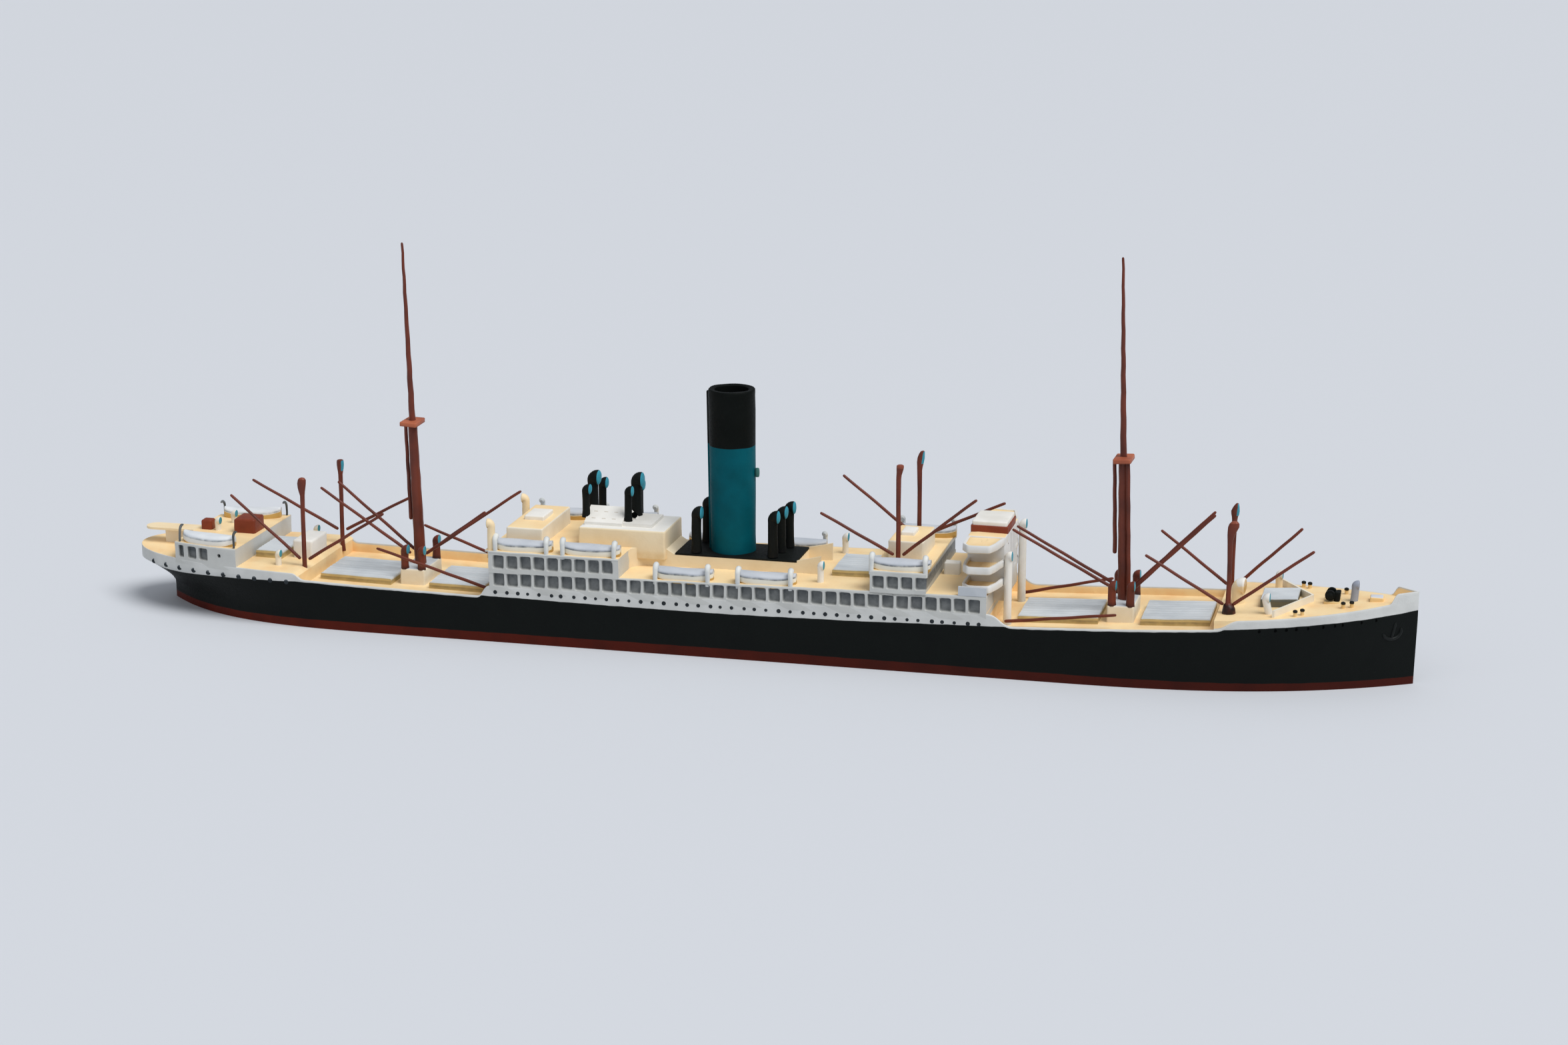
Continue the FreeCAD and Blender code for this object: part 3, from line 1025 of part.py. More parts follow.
def make_forecastle():
    apex = FORECASTLE_BREAK_X + BREAKWATER_AHEAD
    tips = apex - BREAKWATER_LENGTH
    half, wall = BREAKWATER_SPREAD / 2, BREAKWATER_THICKNESS
    outline = [(apex, 0), (tips, half), (tips - wall, half)]
    outline += [(apex - wall, 0), (tips - wall, -half), (tips, -half)]
    below = under(lambda x: forecastle_deck(x) + BREAKWATER_HEIGHT, tips - 1, apex + 1)
    vee = plan_polygon(outline, 0, FAR).common(below).cut(under(forecastle_deck, tips - 1, apex + 1))
    add("breakwater", vee)

    x = FORECASTLE_BREAK_X + WINDLASS_AHEAD
    z = forecastle_deck(x) + WINDLASS[2]
    base = pegged(seated(x, WINDLASS, forecastle_deck), "hull", [(x, 0.0)], forecastle_deck(x))
    shaft_z, length = z + WINDLASS_DRUM / 2, WINDLASS[1] / 2
    barrel = rod(Vector(x, -length, shaft_z), Vector(x, length, shaft_z), WINDLASS_BARREL)
    wheel, rim = length / 4, WINDLASS[2]
    centres = [Vector(x, y, shaft_z) for y in (-2 * wheel, 2 * wheel)]
    across = Vector(0, rim, 0)
    drums = [rod(centre - across, centre + across, WINDLASS_DRUM) for centre in centres]
    bed = block(x, (WINDLASS[0] / 2, WINDLASS_BARREL, WINDLASS_DRUM / 2), z)
    add("windlass", base.fuse([barrel, bed] + drums).removeSplitter())

    for ahead, y in mirrored(BOLLARD_PLACES):
        x = FORECASTLE_BREAK_X + ahead
        z = forecastle_deck(x)
        post = rod(Vector(x, y, z - PEG_ROOT), Vector(x, y, z + BOLLARD_HEIGHT), BOLLARD_DIAMETER)
        post = post.cut(under(forecastle_deck, x - 1, x + 1))
        add("bollards", pegged(post, "hull", [(x, y)], z, PIN_DIAMETER, SHORT_PEG_DEPTH))
    x = FORECASTLE_BREAK_X + BOW_LOCKER_AHEAD
    add("bow_locker", pegged(seated(x, BOW_LOCKER, forecastle_deck), "hull", [(x, 0.0)], forecastle_deck(x)))


def write_parts():
    os.makedirs("parts", exist_ok=True)
    for name, solids in parts.items():
        holes = sockets.get(name, [])
        finished = [solid.cut(holes) for solid in solids] if holes else solids
        shape = finished[0] if len(finished) == 1 else Part.makeCompound(finished)
        shape.exportStep(os.path.join("parts", name + ".step"))


make_hull()
make_anchors()
make_midship()
make_funnel()
make_boat_deck()
make_bridge()
make_masts()
make_kingposts()
make_low_derricks()
make_hatches()
make_boats()
make_poop()
make_cowls()
make_forecastle()
write_parts()
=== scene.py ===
import math
import bpy
import numpy as np
from mathutils import Matrix, Vector


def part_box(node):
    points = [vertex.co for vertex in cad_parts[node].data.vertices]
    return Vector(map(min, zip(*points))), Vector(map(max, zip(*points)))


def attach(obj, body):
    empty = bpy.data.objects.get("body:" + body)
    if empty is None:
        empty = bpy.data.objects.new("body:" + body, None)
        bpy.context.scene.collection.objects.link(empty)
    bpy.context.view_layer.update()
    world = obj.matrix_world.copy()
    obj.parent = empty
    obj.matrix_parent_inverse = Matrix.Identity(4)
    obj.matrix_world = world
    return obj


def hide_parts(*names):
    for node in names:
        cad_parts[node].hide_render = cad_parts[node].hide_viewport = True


# A painted waterline miniature of a cargo liner. Lengths in this script are millimetres
# until a mesh is made; +X is forward, +Y to port, +Z up.
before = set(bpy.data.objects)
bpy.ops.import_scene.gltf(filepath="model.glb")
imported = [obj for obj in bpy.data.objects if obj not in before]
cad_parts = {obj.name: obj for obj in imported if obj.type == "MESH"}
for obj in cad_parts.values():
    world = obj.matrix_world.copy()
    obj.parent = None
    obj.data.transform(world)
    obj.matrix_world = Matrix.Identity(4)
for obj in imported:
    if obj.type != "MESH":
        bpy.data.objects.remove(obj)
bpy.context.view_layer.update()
MM = 0.001

# Zones along the ship
STERN_X, BOW_X, HALF_BEAM = -62.0, 62.0, 7.5
POOP_BREAK_X, HOUSE_AFT_X, HOUSE_FORE_X, FORECASTLE_BREAK_X = -42.9, -23.5, 23.9, 44.4
UPPER_HOUSE_FORE_X = -10.8
OFFICERS_HOUSE_X, POOP_HOUSE_X = (13.1, 18.3), (-56.25, -49.35)
PARALLEL_X = 30.0                   # the sides run straight this far each way
LOWEST_X = -8.0                     # where the rail is lowest
COUNTER_Z, COUNTER_RISE, OVERHANG = 1.6, 2.9, 3.1       # the stern fills out from this height
FLARE_Z, BOW_RAKE = 6.0, 0.12
RUN, ENTRANCE = (3.9, 4.0), (2.65, 3.65)                # powers at the waterline and at the deck

# Heights: a pair is at the aft and the fore end
RAIL_Z, RAIL_RISE = 4.3, (0.96, 2.7)
WELL_RAIL = (0.95, 0.75)            # rail above the well decks
POOP_DECK_Z, POOP_RISE = 5.3, 0.35
FORECASTLE_DECK = (6.62, 0.72, 0.68)
STRAKE_Z, PROMENADE_Z, SCUTTLES_Z = (5.45, 5.97), (6.85, 7.62), (4.9, 4.99)
BOAT_DECK_Z, OFFICERS_ROOF_Z, POOP_ROOF_Z = 8.88, 9.4, 7.18
WING_FLOORS = ((7.75, 0.5), (9.5, 0.4), (11.5, 0.12))   # underside, and rim above the floor
CROSSTREE_Z = (("main_mast", 18.9), ("fore_mast", 19.2))
FUNNEL_BLACK_Z = 18.7               # the funnel is black above

# Funnel and boats
FUNNEL_X, FUNNEL_FOOT_Z, FUNNEL_LEAN = -1.65, 8.48, 0.16
BOAT_LENGTH, BOAT_BEAM, POOP_BOAT_TURN = 5.7, 1.9, math.radians(10.0)

# Walls, sweeps, windows and scuttles
BULWARK = 0.28
SWEEP, FORE_SWEEP = 1.3, 2.4
BOW_RAIL_X, BOW_RAIL_RAMP, BOW_RAIL_Z = 59.4, 0.9, 8.67
WINDOW_PITCH, WINDOW_WIDTH, WINDOW_HEIGHT, WINDOW_DEPTH = 1.334, 1.04, 1.25, 0.42
FIRST_WINDOW_X, OFFICERS_WINDOW_X = HOUSE_AFT_X + 0.93, 13.86
SIDE_SCUTTLES, SIDE_SCUTTLE_PITCH = 43, 1.1
POOP_SCUTTLES, POOP_SCUTTLE_PITCH = 10, 1.68
FORE_SCUTTLES_X = (48.4, 49.8, 50.75, 51.6, 52.6, 53.9, 54.9, 55.55, 57.15, 58.4)


# ---------------------------------------------------------------- heights and hull form

def smooth(t):
    """Ease from 0 to 1: three times t squared less twice t cubed, held outside 0 to 1."""
    t = np.clip(t, 0.0, 1.0)
    return t * t * (3 - 2 * t)


def sheer(x):
    """Main rail: a parabola on each side of its lowest point, rising to both ends."""
    aft, fore = (x - LOWEST_X) / (STERN_X - LOWEST_X), (x - LOWEST_X) / (BOW_X - LOWEST_X)
    return RAIL_Z + np.where(x < LOWEST_X, RAIL_RISE[0] * aft ** 2, RAIL_RISE[1] * fore ** 2)


def main_deck(x):
    """Well decks: the main rail lowered by the height of each well's bulwark."""
    return sheer(x) - np.where(x < 0, WELL_RAIL[0], WELL_RAIL[1])


def poop_deck(x):
    """A straight line that rises from the break to the stern."""
    return POOP_DECK_Z + POOP_RISE * (POOP_BREAK_X - x) / (POOP_BREAK_X - STERN_X)


def forecastle_deck(x):
    """A parabola: height at the break, plus a share of t and a share of t squared."""
    t = (x - FORECASTLE_BREAK_X) / (BOW_X - FORECASTLE_BREAK_X)
    return FORECASTLE_DECK[0] + FORECASTLE_DECK[1] * t + FORECASTLE_DECK[2] * t * t


def along_house(x, heights):
    """A straight line between the heights at the house's aft and fore ends."""
    return heights[0] + (heights[1] - heights[0]) * (x - HOUSE_AFT_X) / (HOUSE_FORE_X - HOUSE_AFT_X)


def strake(x):
    """Top of the plain side under the long row of windows."""
    return along_house(x, STRAKE_Z)


def promenade(x):
    """The deck above the long row of windows."""
    return along_house(x, PROMENADE_Z)


def level(z):
    """A line at one height all along."""
    return lambda x: np.full(np.shape(x), z)


def raised(line, lift):
    """A line a fixed lift above another."""
    return lambda x: line(x) + lift


def sweep(x, x0, x1, z0, z1):
    """A rail easing between two heights: a cubic curve with level ends, read at x."""
    t = np.linspace(0, 1, 33)
    along = x0 + (x1 - x0) * (1.5 * t * (1 - t) + t ** 3)
    return np.interp(x, along, z0 + (z1 - z0) * (3 * (1 - t) * t * t + t ** 3))


def rail(x):
    """Top of the ship's side, zone by zone, joined by the sweeps."""
    w0 = POOP_BREAK_X - SWEEP / 2
    w1 = w0 + SWEEP
    h0, f1, b1 = HOUSE_AFT_X - SWEEP, HOUSE_FORE_X + FORE_SWEEP, FORECASTLE_BREAK_X + FORE_SWEEP
    zones = [
        (x < w0, poop_deck(x)),
        (x < w1, sweep(x, w0, w1, poop_deck(w0), sheer(w1))),
        (x < h0, sheer(x)),
        (x < HOUSE_AFT_X, sweep(x, h0, HOUSE_AFT_X, sheer(h0), strake(HOUSE_AFT_X))),
        (x < HOUSE_FORE_X, strake(x)),
        (x < f1, sweep(x, HOUSE_FORE_X, f1, strake(HOUSE_FORE_X), sheer(f1))),
        (x < FORECASTLE_BREAK_X, sheer(x)),
        (x < b1, sweep(x, FORECASTLE_BREAK_X, b1, sheer(FORECASTLE_BREAK_X), forecastle_deck(b1))),
        (x < BOW_RAIL_X, forecastle_deck(x)),
        (x < BOW_RAIL_X + BOW_RAIL_RAMP,
         sweep(x, BOW_RAIL_X, BOW_RAIL_X + BOW_RAIL_RAMP, forecastle_deck(BOW_RAIL_X), BOW_RAIL_Z)),
    ]
    return np.select([test for test, _ in zones], [z for _, z in zones], BOW_RAIL_Z)


def white_edge(x):
    """Lower edge of the white upper side: straight between the heights along the ship."""
    along = [-62, -58, -52, -43, -35, -25, -11, 0, 12, 21, 31, 40, 45.3, 53, 62]
    height = [3.75, 3.95, 4.25, 4.53, 4.67, 4.5, 4.33, 4.32, 4.52, 4.81, 5.06, 5.45, 5.88, 6.35, 6.95]
    return np.interp(x, along, height)


def fullness(z):
    """Share by which the stern and the bow have filled out at a height."""
    counter = np.clip((z - COUNTER_Z) / COUNTER_RISE, 0.0, 1.0) ** 1.3
    return counter, np.clip(z / FLARE_Z, 0.0, 1.0)


def hull_ends(z):
    """The stern's and the bow's x at a height: drawn in where the ends are less full."""
    aft, fore = fullness(z)
    return STERN_X + OVERHANG * (1 - aft), BOW_X - BOW_RAKE * (1 - fore)


def half_breadth(x, z):
    """Half the width of the hull: power curves for the run and the entrance, blended by
    the fullness between the waterline's shape and the deck's."""
    x0, x1 = hull_ends(z)
    aft, fore = fullness(z)
    t = np.clip((-PARALLEL_X - x) / (-PARALLEL_X - x0), 0.0, 1.0)
    share = (1 - t ** RUN[0]) * (1 - aft) + np.sqrt(1 - t ** RUN[1]) * aft
    t = np.clip((x - PARALLEL_X) / (x1 - PARALLEL_X), 0.0, 1.0)
    share = share * ((1 - t ** ENTRANCE[0]) * (1 - fore) + (1 - t ** ENTRANCE[1]) * fore)
    return HALF_BEAM * share


# ---------------------------------------------------------------- materials

def tint(rgb):
    """Linear colour of an enamel given as it looks, 0 to 255."""
    c = np.array(rgb) / 255
    return tuple(np.where(c < 0.04045, c / 12.92, ((c + 0.055) / 1.055) ** 2.4)) + (1.0,)


def node(tree, kind, **values):
    """A new node with the named sockets or settings."""
    made = tree.nodes.new(kind)
    for key, value in values.items():
        if key in made.inputs:
            made.inputs[key].default_value = value
        else:
            setattr(made, key, value)
    return made


def feed(tree, sockets, values):
    """Fill sockets in turn, each from another node's socket or from a plain value."""
    for socket, value in zip(sockets, values):
        if isinstance(value, bpy.types.NodeSocket):
            tree.links.new(value, socket)
        else:
            socket.default_value = value


def blend(tree, factor, a, b):
    """Mix two colours by a factor."""
    mix = node(tree, "ShaderNodeMix", data_type="RGBA", blend_type="MIX")
    feed(tree, (mix.inputs[0], mix.inputs[6], mix.inputs[7]), (factor, a, b))
    return mix.outputs[2]


def calc(tree, operation, *values):
    """One step of arithmetic."""
    made = node(tree, "ShaderNodeMath", operation=operation)
    feed(tree, made.inputs, values)
    return made.outputs[0]


def span(tree, value, low, high, to_low=0.0, to_high=1.0):
    """Carry a value from the range low to high onto another range, held inside it."""
    made = node(tree, "ShaderNodeMapRange")
    feed(tree, made.inputs, (value, low, high, to_low, to_high))
    return made.outputs[0]


def noise(tree, place, scale, detail):
    """Soft noise of the place on the piece."""
    made = node(tree, "ShaderNodeTexNoise", Scale=scale, Detail=detail)
    tree.links.new(place, made.inputs["Vector"])
    return made.outputs["Fac"]


def marked(tree, name):
    """A number that the piece carries at its points."""
    return node(tree, "ShaderNodeAttribute", attribute_name=name).outputs["Fac"]


def enamel(name, colour, stain, second=None, shade=None, third=None, rough=0.5, gloss=0.3, grain=1.0,
           streak=False, patchy=0.55):
    """Brushed enamel: a colour clouded with its stain, a second and a third colour where the
    piece says so, the shade colour where the piece marks it (painted shade in hollows, under
    things and at feet, and on one kingpost its dark painted step), and the fine unevenness of
    paint over a casting."""
    mat = bpy.data.materials.new(name)
    mat.use_nodes = True
    tree = mat.node_tree
    shader = tree.nodes["Principled BSDF"]
    place = node(tree, "ShaderNodeTexCoord").outputs["Object"]
    cloud = noise(tree, place, 420, 4)
    now = blend(tree, span(tree, cloud, 0.42, 0.72, 0.0, 0.75), tint(colour), tint(stain))
    if streak:
        drawn = node(tree, "ShaderNodeMapping", Scale=(0.12, 1.0, 1.0))
        tree.links.new(place, drawn.inputs["Vector"])
        line = noise(tree, drawn.outputs["Vector"], 900, 3)
        now = blend(tree, span(tree, line, 0.5, 0.75, 0.0, 0.6), now, tint(stain))
    for mark, pair in (("second", second), ("third", third)):
        if pair:
            edge = calc(tree, "MULTIPLY_ADD", noise(tree, place, 1800, 2), 0.3, marked(tree, mark))
            clouded = blend(tree, span(tree, cloud, 0.4, 0.75, 0.0, 0.6), tint(pair[0]), tint(pair[1]))
            now = blend(tree, span(tree, edge, 0.6, 0.7), now, clouded)
    # Painted shade where a piece marks it, laid on in patches; one kingpost's dark step uses the same mark.
    if shade:
        shade_patches = span(tree, noise(tree, place, 1500, 3), 0.3, 0.6, patchy, 1.0)
        now = blend(tree, calc(tree, "MULTIPLY", marked(tree, "wash"), shade_patches), now, tint(shade))
    tree.links.new(now, shader.inputs["Base Color"])
    fine = noise(tree, place, 5200, 3)
    tree.links.new(span(tree, fine, 0.3, 0.7, rough - 0.08, rough + 0.1), shader.inputs["Roughness"])
    bump = node(tree, "ShaderNodeBump", Strength=0.35, Distance=0.00003 * grain)
    tree.links.new(calc(tree, "ADD", fine, noise(tree, place, 1300, 2)), bump.inputs["Height"])
    tree.links.new(bump.outputs["Normal"], shader.inputs["Normal"])
    shader.inputs["Specular IOR Level"].default_value = gloss
    return mat


# Colours that several paints share, and pairs of a colour and its stain
WHITE, WARM_WHITE, CREAM, OCHRE = (240, 238, 232), (226, 221, 208), (246, 224, 184), (214, 178, 112)
DARK_CREAM, DARK_BROWN = (206, 172, 112), (74, 36, 28)
DECK, PALE, JET = ((250, 222, 172), (244, 204, 148)), (WHITE, WARM_WHITE), ((9, 13, 11), (18, 22, 20))
MOUTH = ((60, 150, 170), (40, 122, 146))

# Paints: name, colour, stain, second pair, painted shade colour, third pair
white = enamel("white_enamel", *PALE, MOUTH, (104, 112, 118))
davit_white = enamel("davit_enamel", (230, 231, 226), (196, 202, 206), None, (116, 126, 134))
# The walls' white is darkened to a grey: painted shade on the side walls; their roofs take the deck colour.
wall_white = enamel("wall_enamel", (201, 202, 198), (187, 188, 184), DECK, (74, 80, 84), patchy=0.8)
house_paint = enamel("house_enamel", (238, 229, 210), (226, 214, 192), DECK, DARK_CREAM)
casing_paint = enamel("casing_enamel", (240, 224, 192), (228, 208, 172), PALE, DARK_CREAM)
roof_paint = enamel("white_roof_enamel", (240, 237, 230), (226, 222, 212), None, (176, 166, 146))
canvas_top = enamel("mast_house_enamel", (238, 228, 206), (226, 212, 184),
                    ((214, 219, 222), (190, 196, 198)), DARK_CREAM)
tower_paint = enamel("tower_enamel", (226, 226, 224), (208, 208, 204), DECK, (196, 168, 112))
screen_grey = enamel("screen_enamel", (196, 201, 206), (176, 182, 188))
locker_paint = enamel("locker_enamel", (246, 214, 156), (232, 192, 128),
                      ((214, 217, 224), (196, 200, 208)), OCHRE)
cream = enamel("cream_enamel", CREAM, (238, 210, 164), MOUTH, (206, 160, 84), PALE)
pale_cream = enamel("pale_cream_enamel", (240, 232, 214), WARM_WHITE, MOUTH, OCHRE)
grey_blue = enamel("grey_cowl_enamel", (156, 162, 176), (132, 140, 156), MOUTH, (96, 104, 116))
brown = enamel("mast_brown_enamel", (112, 52, 36), DARK_BROWN, MOUTH, (14, 12, 12),
               ((140, 74, 54), (120, 60, 44)), rough=0.42)
box_brown = enamel("red_brown_enamel", (134, 58, 32), (110, 45, 24), None, (80, 40, 30))
tree_brown = enamel("crosstree_enamel", (182, 102, 70), (146, 76, 54), None, DARK_BROWN)
black = enamel("matt_black_enamel", *JET, MOUTH, (12, 12, 12), rough=0.6, gloss=0.15)
funnel_paint = enamel("funnel_enamel", (0, 86, 98), (0, 70, 79), JET, (10, 12, 12), rough=0.55, gloss=0.08)
# Boat paints: the third pair, an ochre, is painted shade on the lower hull; the shade colour gives painted
# shade along the gunwale.
boat_paint = enamel("boat_enamel", (200, 204, 210), (180, 186, 194), ((238, 234, 220), (222, 216, 198)),
                    (66, 76, 86), ((204, 166, 96), (168, 128, 66)), patchy=0.35)
white_boat = enamel("white_boat_enamel", (230, 233, 235), (206, 211, 216), PALE, (120, 128, 134),
                    ((214, 176, 104), (184, 146, 80)), patchy=0.2)
hatch_paint = enamel("hatch_enamel", (208, 213, 216), (186, 192, 196), ((214, 188, 128), (170, 146, 92)),
                     (112, 104, 80), ((104, 104, 96), (72, 74, 70)), streak=True)
dark_hole = enamel("port_shadow", (38, 44, 48), (24, 28, 32), ((84, 90, 94), (70, 76, 80)), rough=0.7)
black_hole = enamel("black_port_shadow", (4, 5, 5), (2, 3, 3), rough=0.8, gloss=0.05)
davit_dark = enamel("dark_davit_enamel", (70, 74, 76), (120, 124, 124))
post_cream = enamel("bollard_enamel", (236, 204, 146), OCHRE, JET, OCHRE)
relief_black = enamel("anchor_enamel", (18, 22, 21), (11, 15, 14), gloss=0.2)
whistle_paint = enamel("whistle_enamel", (58, 104, 98), (44, 84, 80))
light_paint = enamel("skylight_enamel", (206, 196, 180), (178, 166, 146), None, (150, 140, 120))


def hull_enamel():
    """Hull paint by bands: boot topping, black side and white upper side by the piece's own
    height marks, decks where it marks them, each with its own clouding."""
    mat = enamel("hull_enamel", (8, 13, 11), (5, 9, 8), rough=0.42, gloss=0.12, grain=1.3)
    tree = mat.node_tree
    shader = tree.nodes["Principled BSDF"]
    side = shader.inputs["Base Color"].links[0].from_socket
    place = node(tree, "ShaderNodeTexCoord").outputs["Object"]

    def clouded(a, b):
        """A colour clouded with its stain."""
        return blend(tree, span(tree, noise(tree, place, 420, 4), 0.42, 0.72), tint(a), tint(b))

    def above(mark, softness):
        """1 above a painted line, whose edge wavers as a brushed one does."""
        height = calc(tree, "MULTIPLY_ADD", noise(tree, place, 700, 2), 0.12, marked(tree, mark))
        return span(tree, height, 0.06 - softness, 0.06 + softness)

    apart = node(tree, "ShaderNodeSeparateXYZ")
    tree.links.new(place, apart.inputs[0])
    # The boot topping is darker forward than aft: painted shade.
    boot = blend(tree, span(tree, apart.outputs["X"], -0.056, 0.02), clouded((88, 24, 8), (74, 20, 7)),
                 clouded((68, 20, 10), (58, 17, 9)))
    now = blend(tree, above("boot_line", 0.02), boot, side)
    # The white upper side is darkened to a light grey: painted shade.
    now = blend(tree, above("white_line", 0.02), now, clouded((212, 213, 210), (198, 199, 196)))
    now = blend(tree, above("deck", 0.05), now, clouded(*DECK))
    tree.links.new(now, shader.inputs["Base Color"])
    return mat


# ---------------------------------------------------------------- making pieces

def wobble(points, size=0.02):
    """Hand-finished unevenness: each point moves by sines of its place, size mm at most."""
    x, y, z = points[..., 0], points[..., 1], points[..., 2]
    shift = [np.sin(1.9 * y + 2.3 * z + 0.7 * x), np.sin(1.3 * x + 2.9 * z), np.sin(1.7 * x + 2.1 * y)]
    return points + size * np.stack(shift, -1)


def round_turn(count):
    """Angles once round a circle."""
    return np.linspace(0, 2 * math.pi, count, endpoint=False)


class Piece:
    """One painted piece, gathered from closed surfaces that are given as grids of points."""

    def __init__(self, name, nodes, slot, paint, crease=42):
        self.name, self.nodes, self.slot, self.paint, self.crease = name, nodes, slot, paint, crease
        self.points, self.faces, self.marks, self.count = [], [], {}, 0

    def surface(self, grid, **marks):
        """Close a grid of rings (ring, point, xyz) at both ends and face it outwards."""
        rings, around, _ = grid.shape
        flat = grid.reshape(-1, 3)
        i = np.arange(rings * around).reshape(rings, around)
        j = np.roll(i, -1, axis=1)
        quads = np.stack([i[:-1], j[:-1], j[1:], i[1:]], -1).reshape(-1, 4)
        first, last = i[0][::-1], i[-1]
        tris = np.concatenate([quads[:, [0, 1, 2]], quads[:, [0, 2, 3]]] + [
            np.stack([np.full(around - 2, cap[0]), cap[1:-1], cap[2:]], -1) for cap in (first, last)])
        a, b, c = (flat[tris[:, k]] - flat.mean(axis=0) for k in range(3))
        if np.einsum("ij,ij->i", a, np.cross(b, c)).sum() < 0:
            quads, first, last = quads[:, ::-1], first[::-1], last[::-1]
        self.faces += (quads + self.count).tolist()
        self.faces += [(first + self.count).tolist(), (last + self.count).tolist()]
        for key in dict.fromkeys(("second", "third", "wash", *marks)):
            value = np.broadcast_to(np.asarray(marks.get(key, 0.0), float), grid.shape[:2])
            self.marks.setdefault(key, []).append(value.reshape(-1))
        self.points.append(flat)
        self.count += len(flat)

    def tube(self, path, radii, sides=16, across=(0.0, 1.0, 0.0), **marks):
        """A round profile carried along a path: each ring is centred on the path, square to
        it, with one axis as near as can be to the direction given."""
        path, radii = np.asarray(path, float), np.asarray(radii, float)
        radii = radii if radii.ndim == 2 else np.stack([radii, radii], -1)
        along = np.gradient(path, axis=0)
        along /= np.maximum(np.linalg.norm(along, axis=1, keepdims=True), 1e-9)
        one = np.asarray(across, float) - along * (along @ np.asarray(across, float))[:, None]
        one /= np.linalg.norm(one, axis=1, keepdims=True)
        two = np.cross(along, one)
        turn = round_turn(sides)
        ring = one[:, None] * np.cos(turn)[None, :, None] * radii[:, :1, None]
        ring = ring + two[:, None] * np.sin(turn)[None, :, None] * radii[:, 1:, None]
        marks = {key: np.asarray(value, float).reshape(len(path), -1) for key, value in marks.items()}
        self.surface(path[:, None] + ring, **marks)

    def finish(self):
        """Make the mesh, in metres, with its marks and paint, and give it its place in the frame."""
        mesh = bpy.data.meshes.new(self.name)
        mesh.from_pydata((np.concatenate(self.points) * MM).tolist(), [], self.faces)
        for key, values in self.marks.items():
            layer = mesh.attributes.new(key, "FLOAT", "POINT")
            layer.data.foreach_set("value", np.concatenate(values).astype(np.float32))
        mesh.polygons.foreach_set("use_smooth", [True] * len(mesh.polygons))
        mesh.set_sharp_from_angle(angle=math.radians(self.crease))
        mesh.materials.append(self.paint)
        made = bpy.data.objects.new(self.name, mesh)
        bpy.context.scene.collection.objects.link(made)
        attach(made, "root")
        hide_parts(*self.nodes)


def solids(name):
    """Corner points of each separate solid of a CAD node, in millimetres: points that share
    a triangle take the lowest label among them until nothing changes. A shell that lies
    inside another one's box is a hollow, and is left out."""
    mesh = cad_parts[name].data
    place = np.empty(len(mesh.vertices) * 3, np.float32)
    mesh.vertices.foreach_get("co", place)
    corner = np.empty(len(mesh.loops), np.int32)
    mesh.loops.foreach_get("vertex_index", corner)
    points, index = np.unique(np.round(place.reshape(-1, 3) / MM, 3), axis=0, return_inverse=True)
    tris = index.reshape(-1)[corner].reshape(-1, 3)
    label = np.arange(len(points))
    while True:
        low, before = label[tris].min(axis=1), label.copy()
        for k in range(3):
            np.minimum.at(label, tris[:, k], low)
        label = label[label]
        if (label == before).all():
            break
    found = [points[label == value] for value in np.unique(label)]
    spans = [corners(each) for each in found]
    hollow = [any((other[0] < span[0]).all() and (other[1] > span[1]).all() for other in spans)
              for span in spans]
    return [each for each, inside in zip(found, hollow) if not inside]


def corners(points):
    """Lowest and highest corner of a box round the points."""
    return points.min(axis=0), points.max(axis=0)


def foot_of(points):
    """Middle of the lowest points."""
    return points[points[:, 2] < points[:, 2].min() + 0.05].mean(axis=0)


def each_solid(node_name, suffix, slot, paint, crease=42):
    """Start the piece that stands for a node, give it with the points and corners of each of
    the node's solids in turn, then finish it."""
    piece = Piece(node_name + suffix, [node_name], slot, paint, crease)
    for points in solids(node_name):
        yield (piece, points, *corners(points))
    piece.finish()


def rod_ends(points):
    """The two ends of a straight rod: its extent along its own longest direction."""
    middle = points.mean(axis=0)
    axis = np.linalg.svd(points - middle)[2][0]
    reach = (points - middle) @ axis
    return middle + axis * reach.min(), middle + axis * reach.max()


def bar(piece, start, end, r0, r1):
    """A tapered bar with rounded ends: radius runs evenly from r0 to r1, and each end closes
    as a half ellipse."""
    t = np.concatenate([[0, 0.004, 0.015], np.linspace(0.03, 0.97, 14), [0.985, 0.996, 1.0]])
    radii = r0 + (r1 - r0) * t
    radii[:3] *= (0.35, 0.75, 0.95)
    radii[-3:] *= (0.95, 0.75, 0.35)
    path = wobble(start + (end - start) * t[:, None], 0.015)
    athwart = abs((end - start)[1]) >= 0.5 * np.linalg.norm(end - start)
    piece.tube(path, radii, 12, (1.0, 0.0, 0.0) if athwart else (0.0, 1.0, 0.0))


def plan_loop(x0, x1, y0, y1, radius):
    """A rounded rectangle in plan: four quarter circles joined by straight sides, with the
    outward direction at each point."""
    quarter = np.linspace(0, math.pi / 2, 5)
    angle = np.concatenate([quarter + start * math.pi / 2 for start in range(4)])
    facing = np.stack([np.cos(angle), np.sin(angle)], -1)
    centres = [(x1 - radius, y1 - radius), (x0 + radius, y1 - radius), (x0 + radius, y0 + radius),
               (x1 - radius, y0 + radius)]
    return np.repeat(centres, 5, axis=0) + radius * facing, facing


def stacked(loop, out, centre, inset, shrink, height):
    """Rings of one plan, each drawn in by its inset along the outward direction, then shrunk
    towards the centre to close the top, at the heights given."""
    plan = loop[None] - out[None] * inset[:, None, None]
    plan = np.concatenate([plan, centre + (plan[-1] - centre)[None] * np.array(shrink)[:, None, None]])
    return np.concatenate([plan, np.broadcast_to(height[:, None, None], plan.shape[:2] + (1,))], -1)


